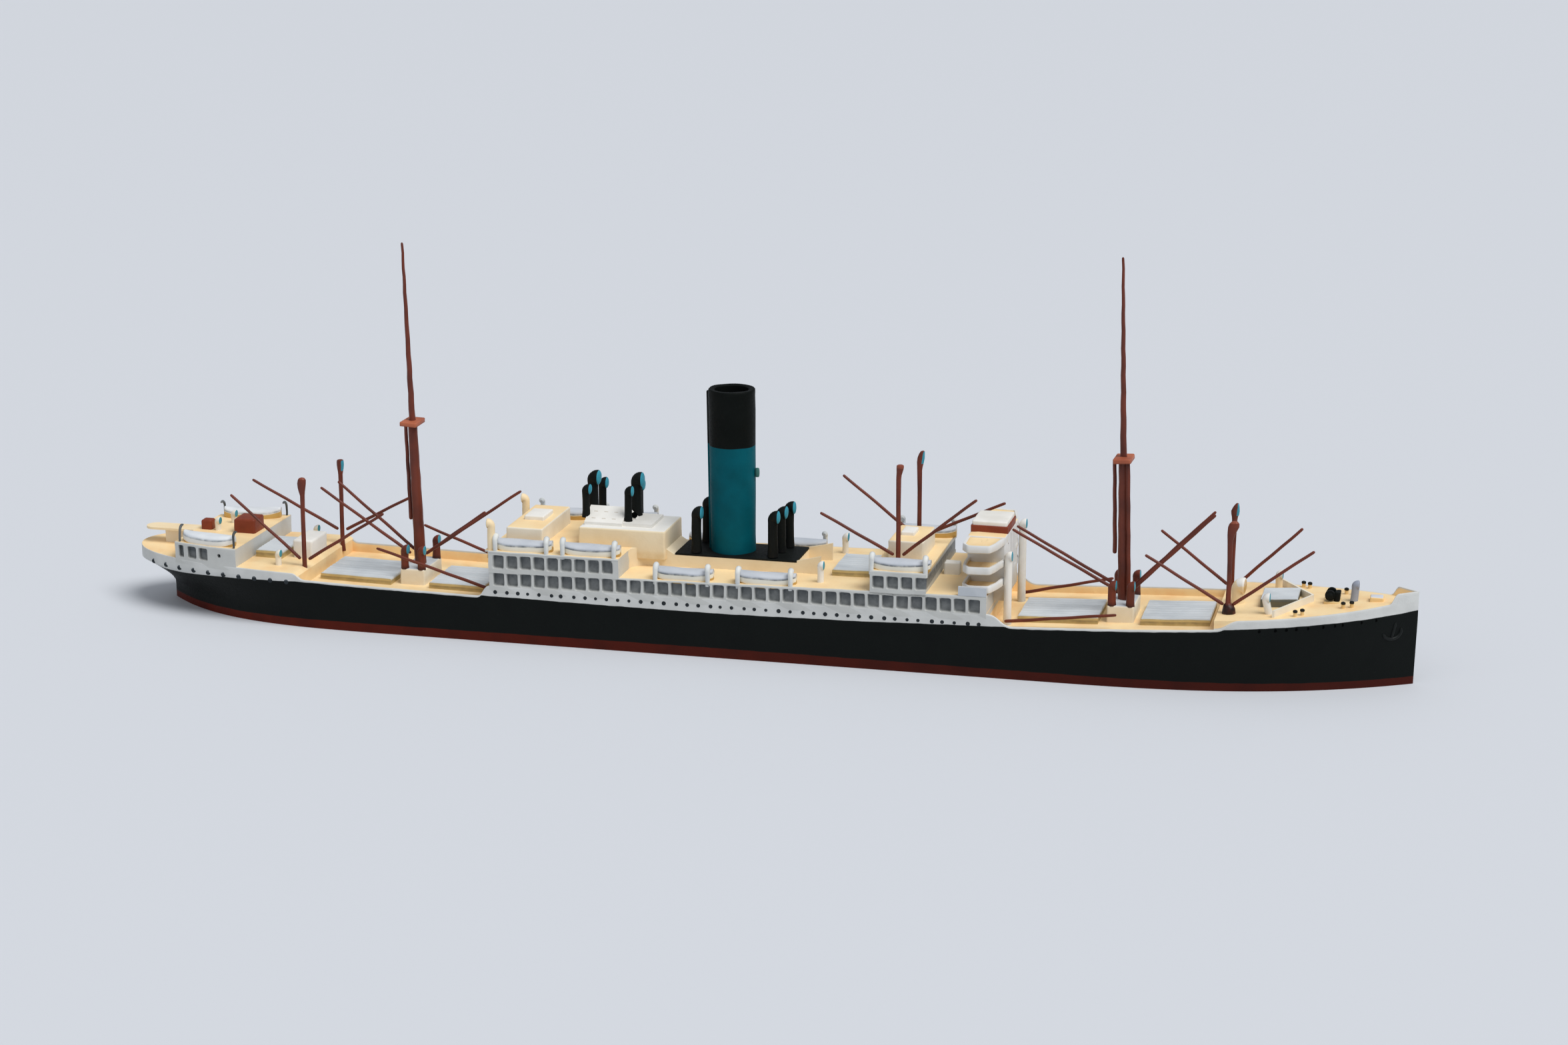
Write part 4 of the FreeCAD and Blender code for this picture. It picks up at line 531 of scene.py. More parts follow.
def casting(piece, box, radius=0.14, corner=0.0, crown=0.0, top=1.0, foot_shade=0.6, size=0.018):
    """A moulded block: rounded rectangles of the plan stacked from the foot to the top, drawn
    in over the last of the height by a quarter round, then closed over a slightly crowned top."""
    (x0, y0, z0), (x1, y1, z1) = box
    radius = min(radius, (z1 - z0) * 0.45, (x1 - x0) * 0.3, (y1 - y0) * 0.3)
    loop, out = plan_loop(x0, x1, y0, y1, max(corner, radius) + 0.02)
    centre = np.array([(x0 + x1) / 2, (y0 + y1) / 2])
    bend = np.linspace(0, math.pi / 2, 5)
    inset = np.concatenate([np.zeros(4), radius * (1 - np.cos(bend))])
    height = np.concatenate([z0 + np.array([0, 0.15, 0.3, 0.6]) * (z1 - z0),
                             z1 - radius + radius * np.sin(bend)])
    shrink = np.array([0.85, 0.6, 0.3, 0.08])
    height = np.concatenate([height, z1 + crown * (1 - shrink ** 2)])
    grid = stacked(loop, out, centre, inset, shrink, height)
    second = np.concatenate([np.zeros(7), [0.6], np.ones(5)]) * top
    # Painted shade at the foot of the block, fading upwards.
    wash = np.concatenate([[1, 0.75, 0.1], np.zeros(10)]) * foot_shade
    piece.surface(wobble(grid, size), second=second[:, None], wash=wash[:, None])


def vent(piece, x, y, z0, z1, stem, mouth, heading, lean=0.0, white_from=99, lip=1.0, dome=0.7):
    """A ventilator cowl: a stem rising to a neck, then rings that swing from level to facing
    the heading on an arc while they open out to the mouth, which is domed over. White starts
    at a ring; with no lip the mouth takes painted shade and the white paint stays on the half
    that faces up, as painted light on the top. The foot has painted shade."""
    facing = np.array([math.cos(math.radians(heading)), math.sin(math.radians(heading)), 0.0])
    up = np.array([0.0, 0.0, 1.0])
    centre_z = z1 - mouth
    rise = centre_z - z0
    stem_z = (z0, z0 + 0.04, z0 + 0.25 * rise, z0 + 0.6 * rise, centre_z - mouth * 0.75)
    path = [np.array([x, y, z]) for z in stem_z]
    radii = [stem * 1.12, stem * 1.1, stem, stem * 0.97, stem * 0.98]
    start = np.array([x, y, centre_z - mouth * 0.45])
    for share in np.linspace(0, 1, 7):
        angle = share * math.pi / 2
        path.append(start + up * (0.5 * mouth * math.sin(angle))
                    + facing * (0.62 * mouth * (1 - math.cos(angle))))
        radii.append(stem + (mouth - stem) * float(smooth(0.15 + 0.85 * share)))
    rim = path[-1]
    for forward, opening in ((0.1, 1.0), (0.2, 0.94), (0.29, 0.78), (0.35, 0.5), (0.37, 0.14)):
        path.append(rim + facing * mouth * forward * dome)
        radii.append(mouth * opening)
    path = np.array(path)
    path[:, 0] += lean * smooth((path[:, 2] - z0) / rise)
    along = np.gradient(path, axis=0)
    along[-5:] = facing
    along /= np.maximum(np.linalg.norm(along, axis=1, keepdims=True), 1e-9)
    across = np.cross(up, facing)
    two = np.cross(along, across)
    turn = round_turn(18)
    ring = across[None, None] * np.cos(turn)[None, :, None] + two[:, None] * np.sin(turn)[None, :, None]
    grid = path[:, None] + ring * np.array(radii)[:, None, None]
    rings = np.arange(len(path))
    second = (rings >= len(path) - 4) * lip
    # With no lip the white keeps to the side that faces up: painted light on the top.
    upward = ring[..., 2] > (0.1 if lip == 0 else -2)
    whitened = ((rings >= white_from) & (rings < len(path) - 4 * lip))[:, None] & upward
    # Painted shade at the foot, and inside the mouth when it has no lip.
    wash = np.where(rings < 2, 0.8, 0.0) + (rings >= len(path) - 3) * (1 - lip)
    piece.surface(wobble(grid, 0.015), second=second[:, None], third=whitened * 1.0, wash=wash[:, None])


# ---------------------------------------------------------------- hull

def both_sides(x, y, z):
    """Rings across the ship: the starboard half, then the port half back down."""
    return np.concatenate([np.stack([x, -y, z], -1), np.stack([x, y, z], -1)[:, ::-1]], axis=1)


def make_hull():
    """The hull as rings across the ship: up the side, over the rail, down inside the bulwark
    and over the deck to the middle, then the same to port. Breaks of deck are pairs of rings
    at one place."""
    breaks = np.array([POOP_BREAK_X, HOUSE_AFT_X, HOUSE_FORE_X, FORECASTLE_BREAK_X, BOW_RAIL_X - BULWARK])
    ease = (1 - np.cos(np.linspace(0, math.pi, 230))) / 2
    closer = [np.linspace(x0, x1, count) for x0, x1, count in (
        (-44.6, -41.2, 24), (-25.6, -22.6, 20), (23, 27, 20), (44, 47.5, 24), (58.8, 61.4, 24))]
    xs = np.unique(np.round(np.concatenate([STERN_X + (BOW_X - STERN_X) * ease] + closer), 3))
    xs = xs[np.abs(xs[:, None] - breaks).min(axis=1) > 0.02]
    xs = np.sort(np.concatenate([xs, breaks - 0.004, breaks + 0.004]))
    share = (xs - STERN_X) / (BOW_X - STERN_X)
    top = rail(xs)
    in_well = ((xs > breaks[0]) & (xs < breaks[1])) | ((xs > breaks[2]) & (xs < breaks[3]))
    deck = np.where(in_well, main_deck(xs), np.where(xs > breaks[3], forecastle_deck(xs), top))
    open_rail = in_well | (xs > breaks[3])
    inset = np.where(open_rail, BULWARK, 0.02)
    up_side = np.concatenate([np.linspace(0, 0.3, 5), np.linspace(0.36, 0.93, 14), [0.97, 0.99]])
    z = top[:, None] * up_side[None]
    x0, x1 = hull_ends(z)
    x = x0 + (x1 - x0) * share[:, None]
    y = half_breadth(x, z)
    # rail, drawn in a little at its edges, then the inner wall and the deck
    soft = 0.05
    outer = half_breadth(xs, top)
    inner = np.maximum(half_breadth(xs, np.minimum(deck, top)) - inset, 0.0)
    inner = np.minimum(inner, np.maximum(outer - 2.2 * soft, 0.0))
    over = [(np.maximum(outer - 0.35 * soft, 0), top - 0.02), (np.maximum(outer - soft, 0), top),
            (np.maximum(inner + soft, 0) * (outer > soft * 3), top)]
    over += [(inner, top + (deck - top) * part) for part in (0.25, 0.6, 0.9, 1.0)]
    over += [(inner * part, deck) for part in (0.97, 0.75, 0.5, 0.25)]
    y = np.concatenate([y] + [column[:, None] for column, _ in over], axis=1)
    z = np.concatenate([z] + [column[:, None] for _, column in over], axis=1)
    x = np.concatenate([x] + [xs[:, None]] * len(over), axis=1)
    grid = both_sides(x, y, z)
    white_at = np.minimum(white_edge(grid[..., 0]), rail(grid[..., 0]) - 0.16)
    boot_at = np.interp(grid[..., 0], [-62, -40, 0, 62], [0.62, 0.85, 0.95, 0.72])
    side_count = len(up_side) + 2
    is_deck = np.zeros(x.shape[1])
    is_deck[side_count + 1:] = 1.0
    is_deck = np.concatenate([is_deck, is_deck[::-1]])
    piece = Piece("hull_casting", ["hull"], "hull_paint", hull_enamel(), 30)
    # Painted shade along the foot at the floor; the hull paint has no shade colour, so it does not show.
    foot = np.clip(1 - grid[..., 2] / 0.25, 0, 1) * 0.6
    piece.surface(grid, white_line=grid[..., 2] - white_at, boot_line=grid[..., 2] - boot_at,
                  deck=(is_deck - 0.5)[None], wash=foot)
    piece.finish()


def make_ports():
    """Scuttles as shallow dished rounds let into the ship's side: a raised rim, then rings
    that sink to a dark middle; those of the poop have a painted highlight on the upper rim."""
    rims = Piece("scuttles", [], "black_paint", dark_hole)
    dark = Piece("forward_scuttles", [], "black_paint", black_hole)
    rng = np.random.default_rng(7)

    def round_port(piece, x, z, radius, side, upper=0.0):
        """One scuttle: rings that first stand out from the side, then sink and narrow."""
        y = side * float(half_breadth(np.array(x), np.array(z)))
        path = [(x, y + side * d, z) for d in (-0.1, 0.012, 0.02, 0.006, -0.03)]
        # Painted highlight on the upper rim of the poop's scuttles.
        lit = np.array([1.0, 1.0, 0.9, 0.0, 0.0])[:, None] * (np.cos(round_turn(14)) > 0.4)[None] * upper
        piece.tube(path, radius * np.array([1, 1, 0.93, 0.8, 0.3]), 14, (0, 0, 1), second=lit)

    for side in (-1, 1):
        xs = HOUSE_AFT_X + 0.55 + SIDE_SCUTTLE_PITCH * np.arange(SIDE_SCUTTLES)
        for x in xs + rng.uniform(-0.12, 0.12, SIDE_SCUTTLES):
            round_port(rims, x, along_house(x, SCUTTLES_Z), 0.175 + 0.03 * rng.uniform(-1, 1), side)
        for i in range(POOP_SCUTTLES):
            x = POOP_BREAK_X - 1.15 - POOP_SCUTTLE_PITCH * i
            round_port(rims, x, 4.42 + 0.028 * i, 0.24, side, 1.0)
        for x in FORE_SCUTTLES_X:
            round_port(dark, x, float(white_edge(x)) - 0.24, 0.15, side)
    rims.finish()
    dark.finish()


# ---------------------------------------------------------------- houses with window rows

def hollows(x, z, row, sill, width, height):
    """How deep a wall is pressed in, 0 to 1: each window is a squared-off oval, |dx/a| and
    |dz/b| to one power, added, and eased over its edge; a small one is a plain oval."""
    depth = np.zeros(np.broadcast(x, z).shape)
    power = 2.0 if width < 0.5 else 8.0
    for middle in row:
        across, up = (x - middle) / (width / 2), (z - sill(middle) - height / 2) / (height / 2)
        reach = (np.abs(across) ** power + np.abs(up) ** power) ** (1 / power)
        depth = np.maximum(depth, smooth((1.05 - reach) / 0.16))
    return depth


def gallery(piece, ends, foot, top, half, rows, steps, over=0.0):
    """A full-width house: rings across the ship, up each side and over its roof, with every
    wall pressed in at its windows and eased over at the roof's edge. A row of windows is
    their middles, the line of their sills, and their width and height."""
    x0, x1 = ends
    levels = 44
    xs = np.concatenate([[x0], np.linspace(x0 + 0.03, x1 - 0.03, steps), [x1]])
    low, high = foot(xs)[:, None], top(xs)[:, None]
    z = low + (high - low) * np.linspace(0, 1, levels)[None]
    x = np.broadcast_to(xs[:, None], z.shape)
    depth = np.zeros(z.shape)
    for row, sill, width, height in rows:
        depth = np.maximum(depth, hollows(x, z, row, sill, width, height))
    edge = np.clip((z - high) / 0.1 + 1, 0, 1)
    y = half(x, z) + over * smooth((z - high + 0.16) / 0.04) - WINDOW_DEPTH * depth - 0.06 * edge ** 2
    inset = np.array([0.2, 0.6, 1.5, 4.0])
    roof_y = np.maximum(y[:, -1:] - inset[None], 0.0)
    y = np.concatenate([y, roof_y], axis=1)
    z = np.concatenate([z, np.broadcast_to(high, roof_y.shape)], axis=1)
    grid = both_sides(np.broadcast_to(xs[:, None], z.shape), y, z)
    # Painted shade in the window recesses, darkest under the window heads and none above them.
    fade = np.zeros(depth.shape)
    for row, sill, width, height in rows:
        above_sill = z[:, :levels] - sill(xs)[:, None]
        fade = np.maximum(fade, np.interp(above_sill, [0.0, height, height + 0.1], [0.7, 1.0, 0.0]))
    wash = np.concatenate([np.clip(depth, 0, 1) * fade, np.zeros(roof_y.shape)], axis=1)
    second = np.zeros(z.shape)
    second[:, levels:] = 1.0
    wash = np.concatenate([wash, wash[:, ::-1]], axis=1)
    second = np.concatenate([second, second[:, ::-1]], axis=1)
    piece.surface(wobble(grid, 0.012), second=second, wash=wash)


def ship_side(z, out=0.0):
    """The hull's half breadth at one height, as a wall that stands out from it by a little."""
    return lambda x, _: half_breadth(x, np.full(np.shape(x), z)) + out


def windows(first, count, line, lift, height=WINDOW_HEIGHT):
    """One row of windows at the common pitch."""
    return [first + i * WINDOW_PITCH for i in range(count)], raised(line, lift), WINDOW_WIDTH, height


def make_houses():
    """The four houses with windows; the upper one has a lip over its aft end."""
    lower, upper, officers, poop = (
        Piece(name, [house], "white_paint", wall_white, 38)
        for name, house in (("midship_gallery", "midship_house"), ("upper_gallery", "upper_house"),
                            ("officers_gallery", "officers_house"), ("poop_house_casting", "poop_house")))
    gallery(lower, (HOUSE_AFT_X, HOUSE_FORE_X), raised(strake, -0.6), promenade, ship_side(5.9),
            [windows(FIRST_WINDOW_X, 35, strake, 0.06)], 640)
    lower.finish()
    gallery(upper, (HOUSE_AFT_X - 0.02, UPPER_HOUSE_FORE_X), raised(promenade, -0.1), level(BOAT_DECK_Z),
            ship_side(5.9, 0.035), [windows(FIRST_WINDOW_X, 9, promenade, 0.36)], 190, over=0.05)
    casting(upper, ((HOUSE_AFT_X - 0.45, -7.3, BOAT_DECK_Z - 0.16), (HOUSE_AFT_X + 0.4, 7.3, BOAT_DECK_Z)),
            0.05, foot_shade=0.0)
    upper.finish()
    gallery(officers, OFFICERS_HOUSE_X, raised(promenade, -0.3), level(OFFICERS_ROOF_Z), ship_side(5.9),
            [windows(OFFICERS_WINDOW_X, 4, promenade, 0.3, 1.15)], 90)
    officers.finish()
    x = POOP_HOUSE_X[0]
    gallery(poop, POOP_HOUSE_X, raised(poop_deck, -0.4), level(POOP_ROOF_Z), ship_side(6.0),
            [([x + 0.75], level(5.75), 0.55, 1.15), ([x + 2.0, x + 3.3], level(5.75), 0.95, 1.15),
             ([x + 5.1], level(6.2), 0.34, 0.34)], 130)
    poop.finish()


# ---------------------------------------------------------------- plain cast blocks

def make_blocks():
    """The houses and boxes without windows, one casting to each solid."""
    jobs = [
        ("aft_deckhouse", house_paint, "white_paint", 0.16),
        ("house_skylights", roof_paint, "white_paint", 0.14),
        ("engine_casing", casing_paint, "white_paint", 0.18),
        ("signal_house", house_paint, "white_paint", 0.16),
        ("deck_locker", roof_paint, "white_paint", 0.14),
        ("mast_houses", canvas_top, "white_paint", 0.16),
        ("poop_winch_house", roof_paint, "white_paint", 0.22),
        ("bow_locker", locker_paint, "white_paint", 0.12),
        ("bridge_tower", tower_paint, "white_paint", 0.12),
        ("docking_bridge_trunk", house_paint, "white_paint", 0.1),
        ("poop_roof_boxes", box_brown, "brown_paint", 0.2),
        ("wheelhouse", box_brown, "brown_paint", 0.08),
        ("wheelhouse_roof", roof_paint, "white_paint", 0.14),
        ("funnel_plate", black, "black_paint", 0.06),
    ]
    foot_depth = 6.0        # pegs reach deeper, and are left out
    for name, paint, slot, radius in jobs:
        for piece, _, low, high in each_solid(name, "_casting", slot, paint):
            low[2] = max(low[2], high[2] - foot_depth)
            casting(piece, (low, high), radius, crown=0.04, top=float(paint is not black))


def tray(piece, outline, z0, z1, floor):
    """A bridge wing: its outline stacked from underside to rim, drawn in by the wall, let
    down to its floor and closed over to the middle."""
    outline = np.asarray(outline, float)
    edges = [np.linspace(a, b, 12, endpoint=False) for a, b in zip(outline, np.roll(outline, -1, axis=0))]
    loop = np.concatenate(edges)
    for _ in range(2):
        loop = (np.roll(loop, 1, axis=0) + 2 * loop + np.roll(loop, -1, axis=0)) / 4
    centre = loop.mean(axis=0)
    ahead = np.roll(loop, -1, axis=0) - np.roll(loop, 1, axis=0)
    out = np.stack([ahead[:, 1], -ahead[:, 0]], -1)
    out /= np.linalg.norm(out, axis=1, keepdims=True)
    if ((loop - centre) * out).sum() < 0:
        out = -out
    inset = np.array([0.12, 0.0, 0.0, 0.05, BULWARK - 0.05, BULWARK, BULWARK, BULWARK + 0.15])
    height = np.array([z0, z0 + 0.1, z1 - 0.08, z1, z1, z1 - 0.06, floor + 0.04, floor, floor, floor])
    grid = stacked(loop, out, centre, inset, (0.6, 0.2), height)
    second = np.array([0, 0, 0, 0, 0, 0, 1.0, 1.0, 1.0, 1.0])
    # Painted shade under the wing and on the floor at the foot of its wall.
    wash = np.array([1.0, 0.35, 0, 0, 0, 0, 0.5, 0.2, 0, 0])
    piece.surface(wobble(grid, 0.025), second=second[:, None], wash=wash[:, None])


def make_wings():
    """Bridge wings: a six-sided plan across the ship, set back at its ends."""
    piece = Piece("bridge_wing_trays", ["bridge_wings"], "white_paint", tower_paint)
    low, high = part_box("bridge_wings")
    aft, fore = low[0] / MM, high[0] / MM
    for z, drop in WING_FLOORS:
        rim = z + 0.72
        for side in (-1, 1):
            outline = [(aft, side * 1.5), (aft, side * 6.2), (aft + 0.6, side * 7.1),
                       (fore - 0.75, side * 7.1), (fore, side * 4.0), (fore, side * 1.5)]
            tray(piece, outline, z, rim, rim - drop)
    piece.finish()


# ---------------------------------------------------------------- ventilators and posts

def make_vents():
    """Ventilators by node, each with the stem's share of the mouth; the four of the
    forecastle differ in paint, girth and lean."""
    jobs = [
        ("aft_deck_cowls", cream, "cream_paint", 0.375 / 0.475),
        ("casing_cowls", black, "black_paint", 0.43 / 0.6),
        ("funnel_cowls", black, "black_paint", 0.5 / 0.66),
        ("promenade_cowls", white, "white_paint", 0.31 / 0.43),
        ("bridge_front_cowls", white, "white_paint", 0.375 / 0.48),
        ("mast_house_cowls", brown, "brown_paint", 0.4 / 0.5),
        ("poop_cowls", pale_cream, "cream_paint", 0.31 / 0.38),
    ]
    for name, paint, slot, slim in jobs:
        peg = 0.94 if name == "mast_house_cowls" else 0.2
        for piece, points, low, high in each_solid(name, "_turned", slot, paint, 50):
            x, y, _ = foot_of(points)
            wide = (high[1] - low[1]) / 2
            heading = 0.0 if high[0] - x > x - low[0] else 180.0
            vent(piece, x, y, low[2] + peg, high[2], wide * slim, wide, heading,
                 dome=1.2 if paint is black else 0.7)
    pale = Piece("forecastle_cowls_turned", ["forecastle_cowls"], "cream_paint", cream, 50)
    grey = Piece("bow_cowl_turned", ["forecastle_cowls"], "cream_paint", grey_blue, 50)
    for points in solids("forecastle_cowls"):
        low, high = corners(points)
        x, y, _ = foot_of(points)
        wide, foot = (high[1] - low[1]) / 2, low[2] + 0.2
        if x > 54:
            vent(grey, x, y, foot, high[2] + 0.1, wide * 0.9, wide * 1.05, 0.0, lean=0.1, lip=0.0)
        elif y < -2:
            vent(pale, x, y, foot, high[2], wide * 0.76, wide, 0.0, lean=-0.5, white_from=0)
        elif y > 2:
            vent(pale, x, y, foot, high[2], wide * 0.76, wide, 0.0, white_from=6)
        else:
            vent(pale, x + 0.1, y, foot, high[2] + 0.05, wide * 0.95, wide * 1.2, -6.0, white_from=9,
                 lip=0.0)
    pale.finish()
    grey.finish()


# Heads of the kingposts, by node and whether to port: distance below the top, half width fore
# and aft, and how far the middle leans ahead
POST_HEADS = {
    ("aft_kingposts", False): ((0, 0.1, 0.02), (0.06, 0.27, 0.02), (0.25, 0.4, 0.02), (0.6, 0.43, -0.02),
                               (1.0, 0.39, -0.04), (1.4, 0.31, -0.03), (1.8, 0.23, 0.0)),
    ("aft_kingposts", True): ((0, 0.2, 0.03), (0.04, 0.32, 0.03), (0.2, 0.37, 0.02), (0.55, 0.37, 0.01),
                              (0.9, 0.32, 0.0), (1.2, 0.26, 0.0), (1.5, 0.22, 0.0)),
    ("midship_kingposts", False): ((0, 0.22, 0.1), (0.04, 0.32, 0.1), (0.18, 0.35, 0.1), (0.4, 0.33, 0.08),
                                   (0.7, 0.28, 0.05), (1.0, 0.24, 0.01), (1.3, 0.23, 0.0)),
    ("midship_kingposts", True): ((0, 0.1, 0.3), (0.05, 0.19, 0.27), (0.3, 0.28, 0.17), (0.7, 0.35, 0.08),
                                  (1.1, 0.33, 0.03), (1.5, 0.27, 0.01), (1.9, 0.24, 0.0)),
    ("fore_kingposts", False): ((0, 0.14, 0.3), (0.05, 0.3, 0.3), (0.25, 0.46, 0.27), (0.55, 0.5, 0.21),
                                (0.9, 0.42, 0.12), (1.3, 0.33, 0.04), (1.8, 0.26, 0.0)),
    ("fore_kingposts", True): ((0, 0.08, 0.24), (0.08, 0.16, 0.22), (0.35, 0.29, 0.14), (0.75, 0.4, 0.04),
                               (1.05, 0.37, 0.02), (1.3, 0.29, 0.0), (1.6, 0.25, 0.0)),
}


def make_posts():
    """Kingposts: a slim stem that swells to a long flattened head, wider fore and aft than
    across; the port ones carry a painted opening on the forward face, the others a lighter
    cap, and one stands in a dark step."""
    for name in ("aft_kingposts", "midship_kingposts", "fore_kingposts"):
        for piece, points, low, high in each_solid(name, "_turned", "brown_paint", brown, 50):
            foot = foot_of(points)
            port = bool(foot[1] > 0)
            head = np.array(POST_HEADS[name, port])
            reach = high[2] - low[2] - 0.2
            stem = [(reach, 0.25, 0), (reach - 1.0, 0.22, 0), (reach * 0.6, 0.21, 0), (reach * 0.4, 0.21, 0)]
            stepped = name == "fore_kingposts" and not port
            on_deck = high[2] - float(forecastle_deck(foot[0]))
            if stepped:
                stem[:2] = [(on_deck + down, wide, ahead) for down, wide, ahead in (
                    (0.15, 0.5, 0), (0.1, 0.64, 0), (-0.45, 0.6, 0.05), (-0.7, 0.52, 0.05),
                    (-0.85, 0.42, 0.02), (-0.98, 0.24, 0))]
            down, fore_aft, lean = np.concatenate([stem, head[::-1]]).T
            athwart = np.where((fore_aft > 0.24) & (down < 2), 0.24 + 0.4 * (fore_aft - 0.24), fore_aft)
            turn = round_turn(20)
            x = foot[0] + lean[:, None] + fore_aft[:, None] * np.cos(turn)[None]
            y = foot[1] + athwart[:, None] * np.sin(turn)[None]
            z = np.broadcast_to((high[2] - down)[:, None], x.shape)
            facing = np.clip((np.cos(turn) - 0.35) / 0.2, 0, 1)[None] * float(port)
            tall = np.clip((1.25 - down) / 0.2, 0, 1)[:, None] * np.clip((down - 0.02) / 0.05, 0, 1)[:, None]
            capped = np.broadcast_to(((down < 0.22) & (not port))[:, None], x.shape) * 1.0
            worked = np.broadcast_to((stepped & (down > on_deck - 0.9))[:, None], x.shape) * 1.0
            rough = 0.02 + 0.06 * worked[..., None]
            piece.surface(wobble(np.stack([x, y, z], -1), rough), second=facing * tall, third=capped,
                          wash=worked)


def make_booms():
    """Derricks and booms: bars that taper a little from the heel up."""
    for name in ("kingpost_derricks", "mast_derricks", "low_derricks", "stowed_booms"):
        for piece, points, _, _ in each_solid(name, "_drawn", "brown_paint", brown, 50):
            start, end = rod_ends(points)
            if start[2] > end[2]:
                start, end = end, start
            thick = 0.2 if name == "stowed_booms" else 0.16
            bar(piece, start, end, thick, thick * 0.85)


def make_masts():
    """Masts: a heavy lower mast that tapers to the crosstrees, then a slim topmast that
    narrows evenly to its truck."""
    for name, tree_z in CROSSTREE_Z:
        points = solids(name)[0]
        foot, top_z = foot_of(points), points[:, 2].max()
        heel_z, top = points[:, 2].min(), points[points[:, 2] > top_z - 0.05].mean(axis=0)
        z = np.concatenate([[heel_z], np.linspace(heel_z + 1.3, tree_z, 14), [tree_z + 0.05, tree_z + 0.5],
                            np.linspace(tree_z + 1.5, top_z - 0.25, 22), [top_z - 0.08, top_z]])
        share = (z - foot[2]) / (top[2] - foot[2])
        path = foot + (top - foot) * share[:, None]
        radii = np.interp(z, [heel_z, heel_z + 1.3, tree_z, tree_z + 0.1, top_z - 0.25, top_z - 0.08, top_z],
                          [0.6, 0.56, 0.43, 0.31, 0.12, 0.11, 0.05])
        piece = Piece(name + "_turned", [name], "brown_paint", brown, 50)
        piece.tube(wobble(path, 0.02), radii, 20)
        piece.finish()
    piece = Piece("crosstree_castings", ["crosstrees"], "brown_paint", tree_brown)
    for points in solids("crosstrees"):
        casting(piece, corners(points), 0.08, corner=0.14, size=0.04)
    piece.finish()


# ---------------------------------------------------------------- boats and davits

def lifeboat(piece, centre, height, turn=0.0):
    """A covered lifeboat: sections that narrow towards both ends, each a rounded hull from
    gunwale to keel and back, with a crowned cover over it; the keel lifts at the ends. The
    lower part of the hull has the third colour, an ochre painted shade, to port nearly all of
    it; a line of painted shade runs along the gunwale and the cover's edges."""
    u = np.sin(np.linspace(-math.pi / 2, math.pi / 2, 29))
    half = BOAT_BEAM / 2 * (0.34 + 0.66 * np.maximum(1 - np.abs(u) ** 3.2, 0.0) ** 0.75)
    keel = 0.36 * height * np.abs(u) ** 3
    gunwale = height * (0.66 + 0.12 * np.abs(u) ** 3)
    edge = np.array([0, 0.012, 0.04])
    below = np.concatenate([edge, np.linspace(0.12, math.pi - 0.12, 17), math.pi - edge[::-1]])
    below_y = np.sign(np.cos(below)) * np.abs(np.cos(below)) ** 0.62
    below_z = 1 - np.abs(np.sin(below)) ** 0.62
    cover = np.linspace(0.1, math.pi - 0.1, 13)[::-1]
    cover_y, cover_z = 0.96 * np.cos(cover), np.sin(cover) ** 0.75
    y = np.concatenate([half[:, None] * below_y[None], half[:, None] * cover_y[None]], axis=1)
    z_below = keel[:, None] + (gunwale - keel)[:, None] * below_z[None]
    arch = (height * (0.94 + 0.06 * np.abs(u) ** 4) - gunwale)[:, None]
    z = np.concatenate([z_below, gunwale[:, None] + arch * cover_z[None]], axis=1)
    x = np.broadcast_to((u * BOAT_LENGTH / 2)[:, None], z.shape)
    around = np.concatenate([below_z, np.full(13, 2.0)])
    second = np.broadcast_to((around < 1.5).astype(float), z.shape)
    # Third colour: ochre painted shade on the lower hull, over nearly all of it on the port boats.
    third = np.broadcast_to((around < (0.9 if centre[1] > 0 else 0.42)).astype(float), z.shape)
    wash = np.zeros(z.shape)
    # Painted shade along the gunwale and the edges of the cover.
    wash[:, [0, 22]], wash[:, [23, 35]] = 1.0, 0.6
    c, s = math.cos(turn), math.sin(turn)
    grid = np.stack([centre[0] + x * c - y * s, centre[1] + x * s + y * c, centre[2] + z], -1)
    piece.surface(wobble(grid, 0.02), second=second, third=third, wash=wash)


def davit(piece, low, high, side, thick):
    """A davit: up from its foot at the ship's side, then over inboard in a half round."""
    y_out = (low[1] if side < 0 else high[1]) - side * thick
    y_in = (high[1] if side < 0 else low[1]) + side * thick
    x = (low[0] + high[0]) / 2
    span, bend_z = abs(y_out - y_in), high[2] - thick
    turn = np.linspace(0, math.pi / 2, 7)
    radius = span * 0.6
    arc = [(x, y_out - side * radius * (1 - math.cos(t)), bend_z - radius * (1 - math.sin(t))) for t in turn]
    path = np.array([(x, y_out, low[2] + 0.2), (x, y_out, low[2] + 0.9)] + arc + [(x, y_in, bend_z - 0.02)])
    last = len(path) - 1
    along = np.arange(last + 1)
    radii = thick * np.interp(along, [0, 2, last - 3, last - 1, last], [0.85, 0.95, 1.1, 1.15, 0.6])
    # Painted shade at the foot and at the tip over the boat.
    wash = np.interp(along, [0, 3, last - 2, last], [0.3, 0.0, 0.1, 0.6])
    piece.tube(wobble(path, 0.02), radii, 12, (1.0, 0.0, 0.0), wash=wash)


def make_boats():
    """Boats and their davits; those of the poop are turned a little and have thin dark davits."""
    for boats, davits, dark in (("lifeboats", "lifeboat_davits", False), ("poop_boats", "poop_davits", True)):
        paint = white_boat if dark else boat_paint
        for boat, _, low, high in each_solid(boats, "_moulded", "boat_paint", paint, 50):
            middle = (low + high) / 2
            side = np.sign(middle[1])
            turn = POOP_BOAT_TURN * side if dark else 0.0
            lifeboat(boat, (middle[0], middle[1], low[2]), high[2] - low[2], turn)
        paint = davit_dark if dark else davit_white
        for piece, _, low, high in each_solid(davits, "_bent", "white_paint", paint, 50):
            davit(piece, low, high, np.sign(low[1] + high[1]), 0.12 if dark else 0.25)


# ---------------------------------------------------------------- funnel

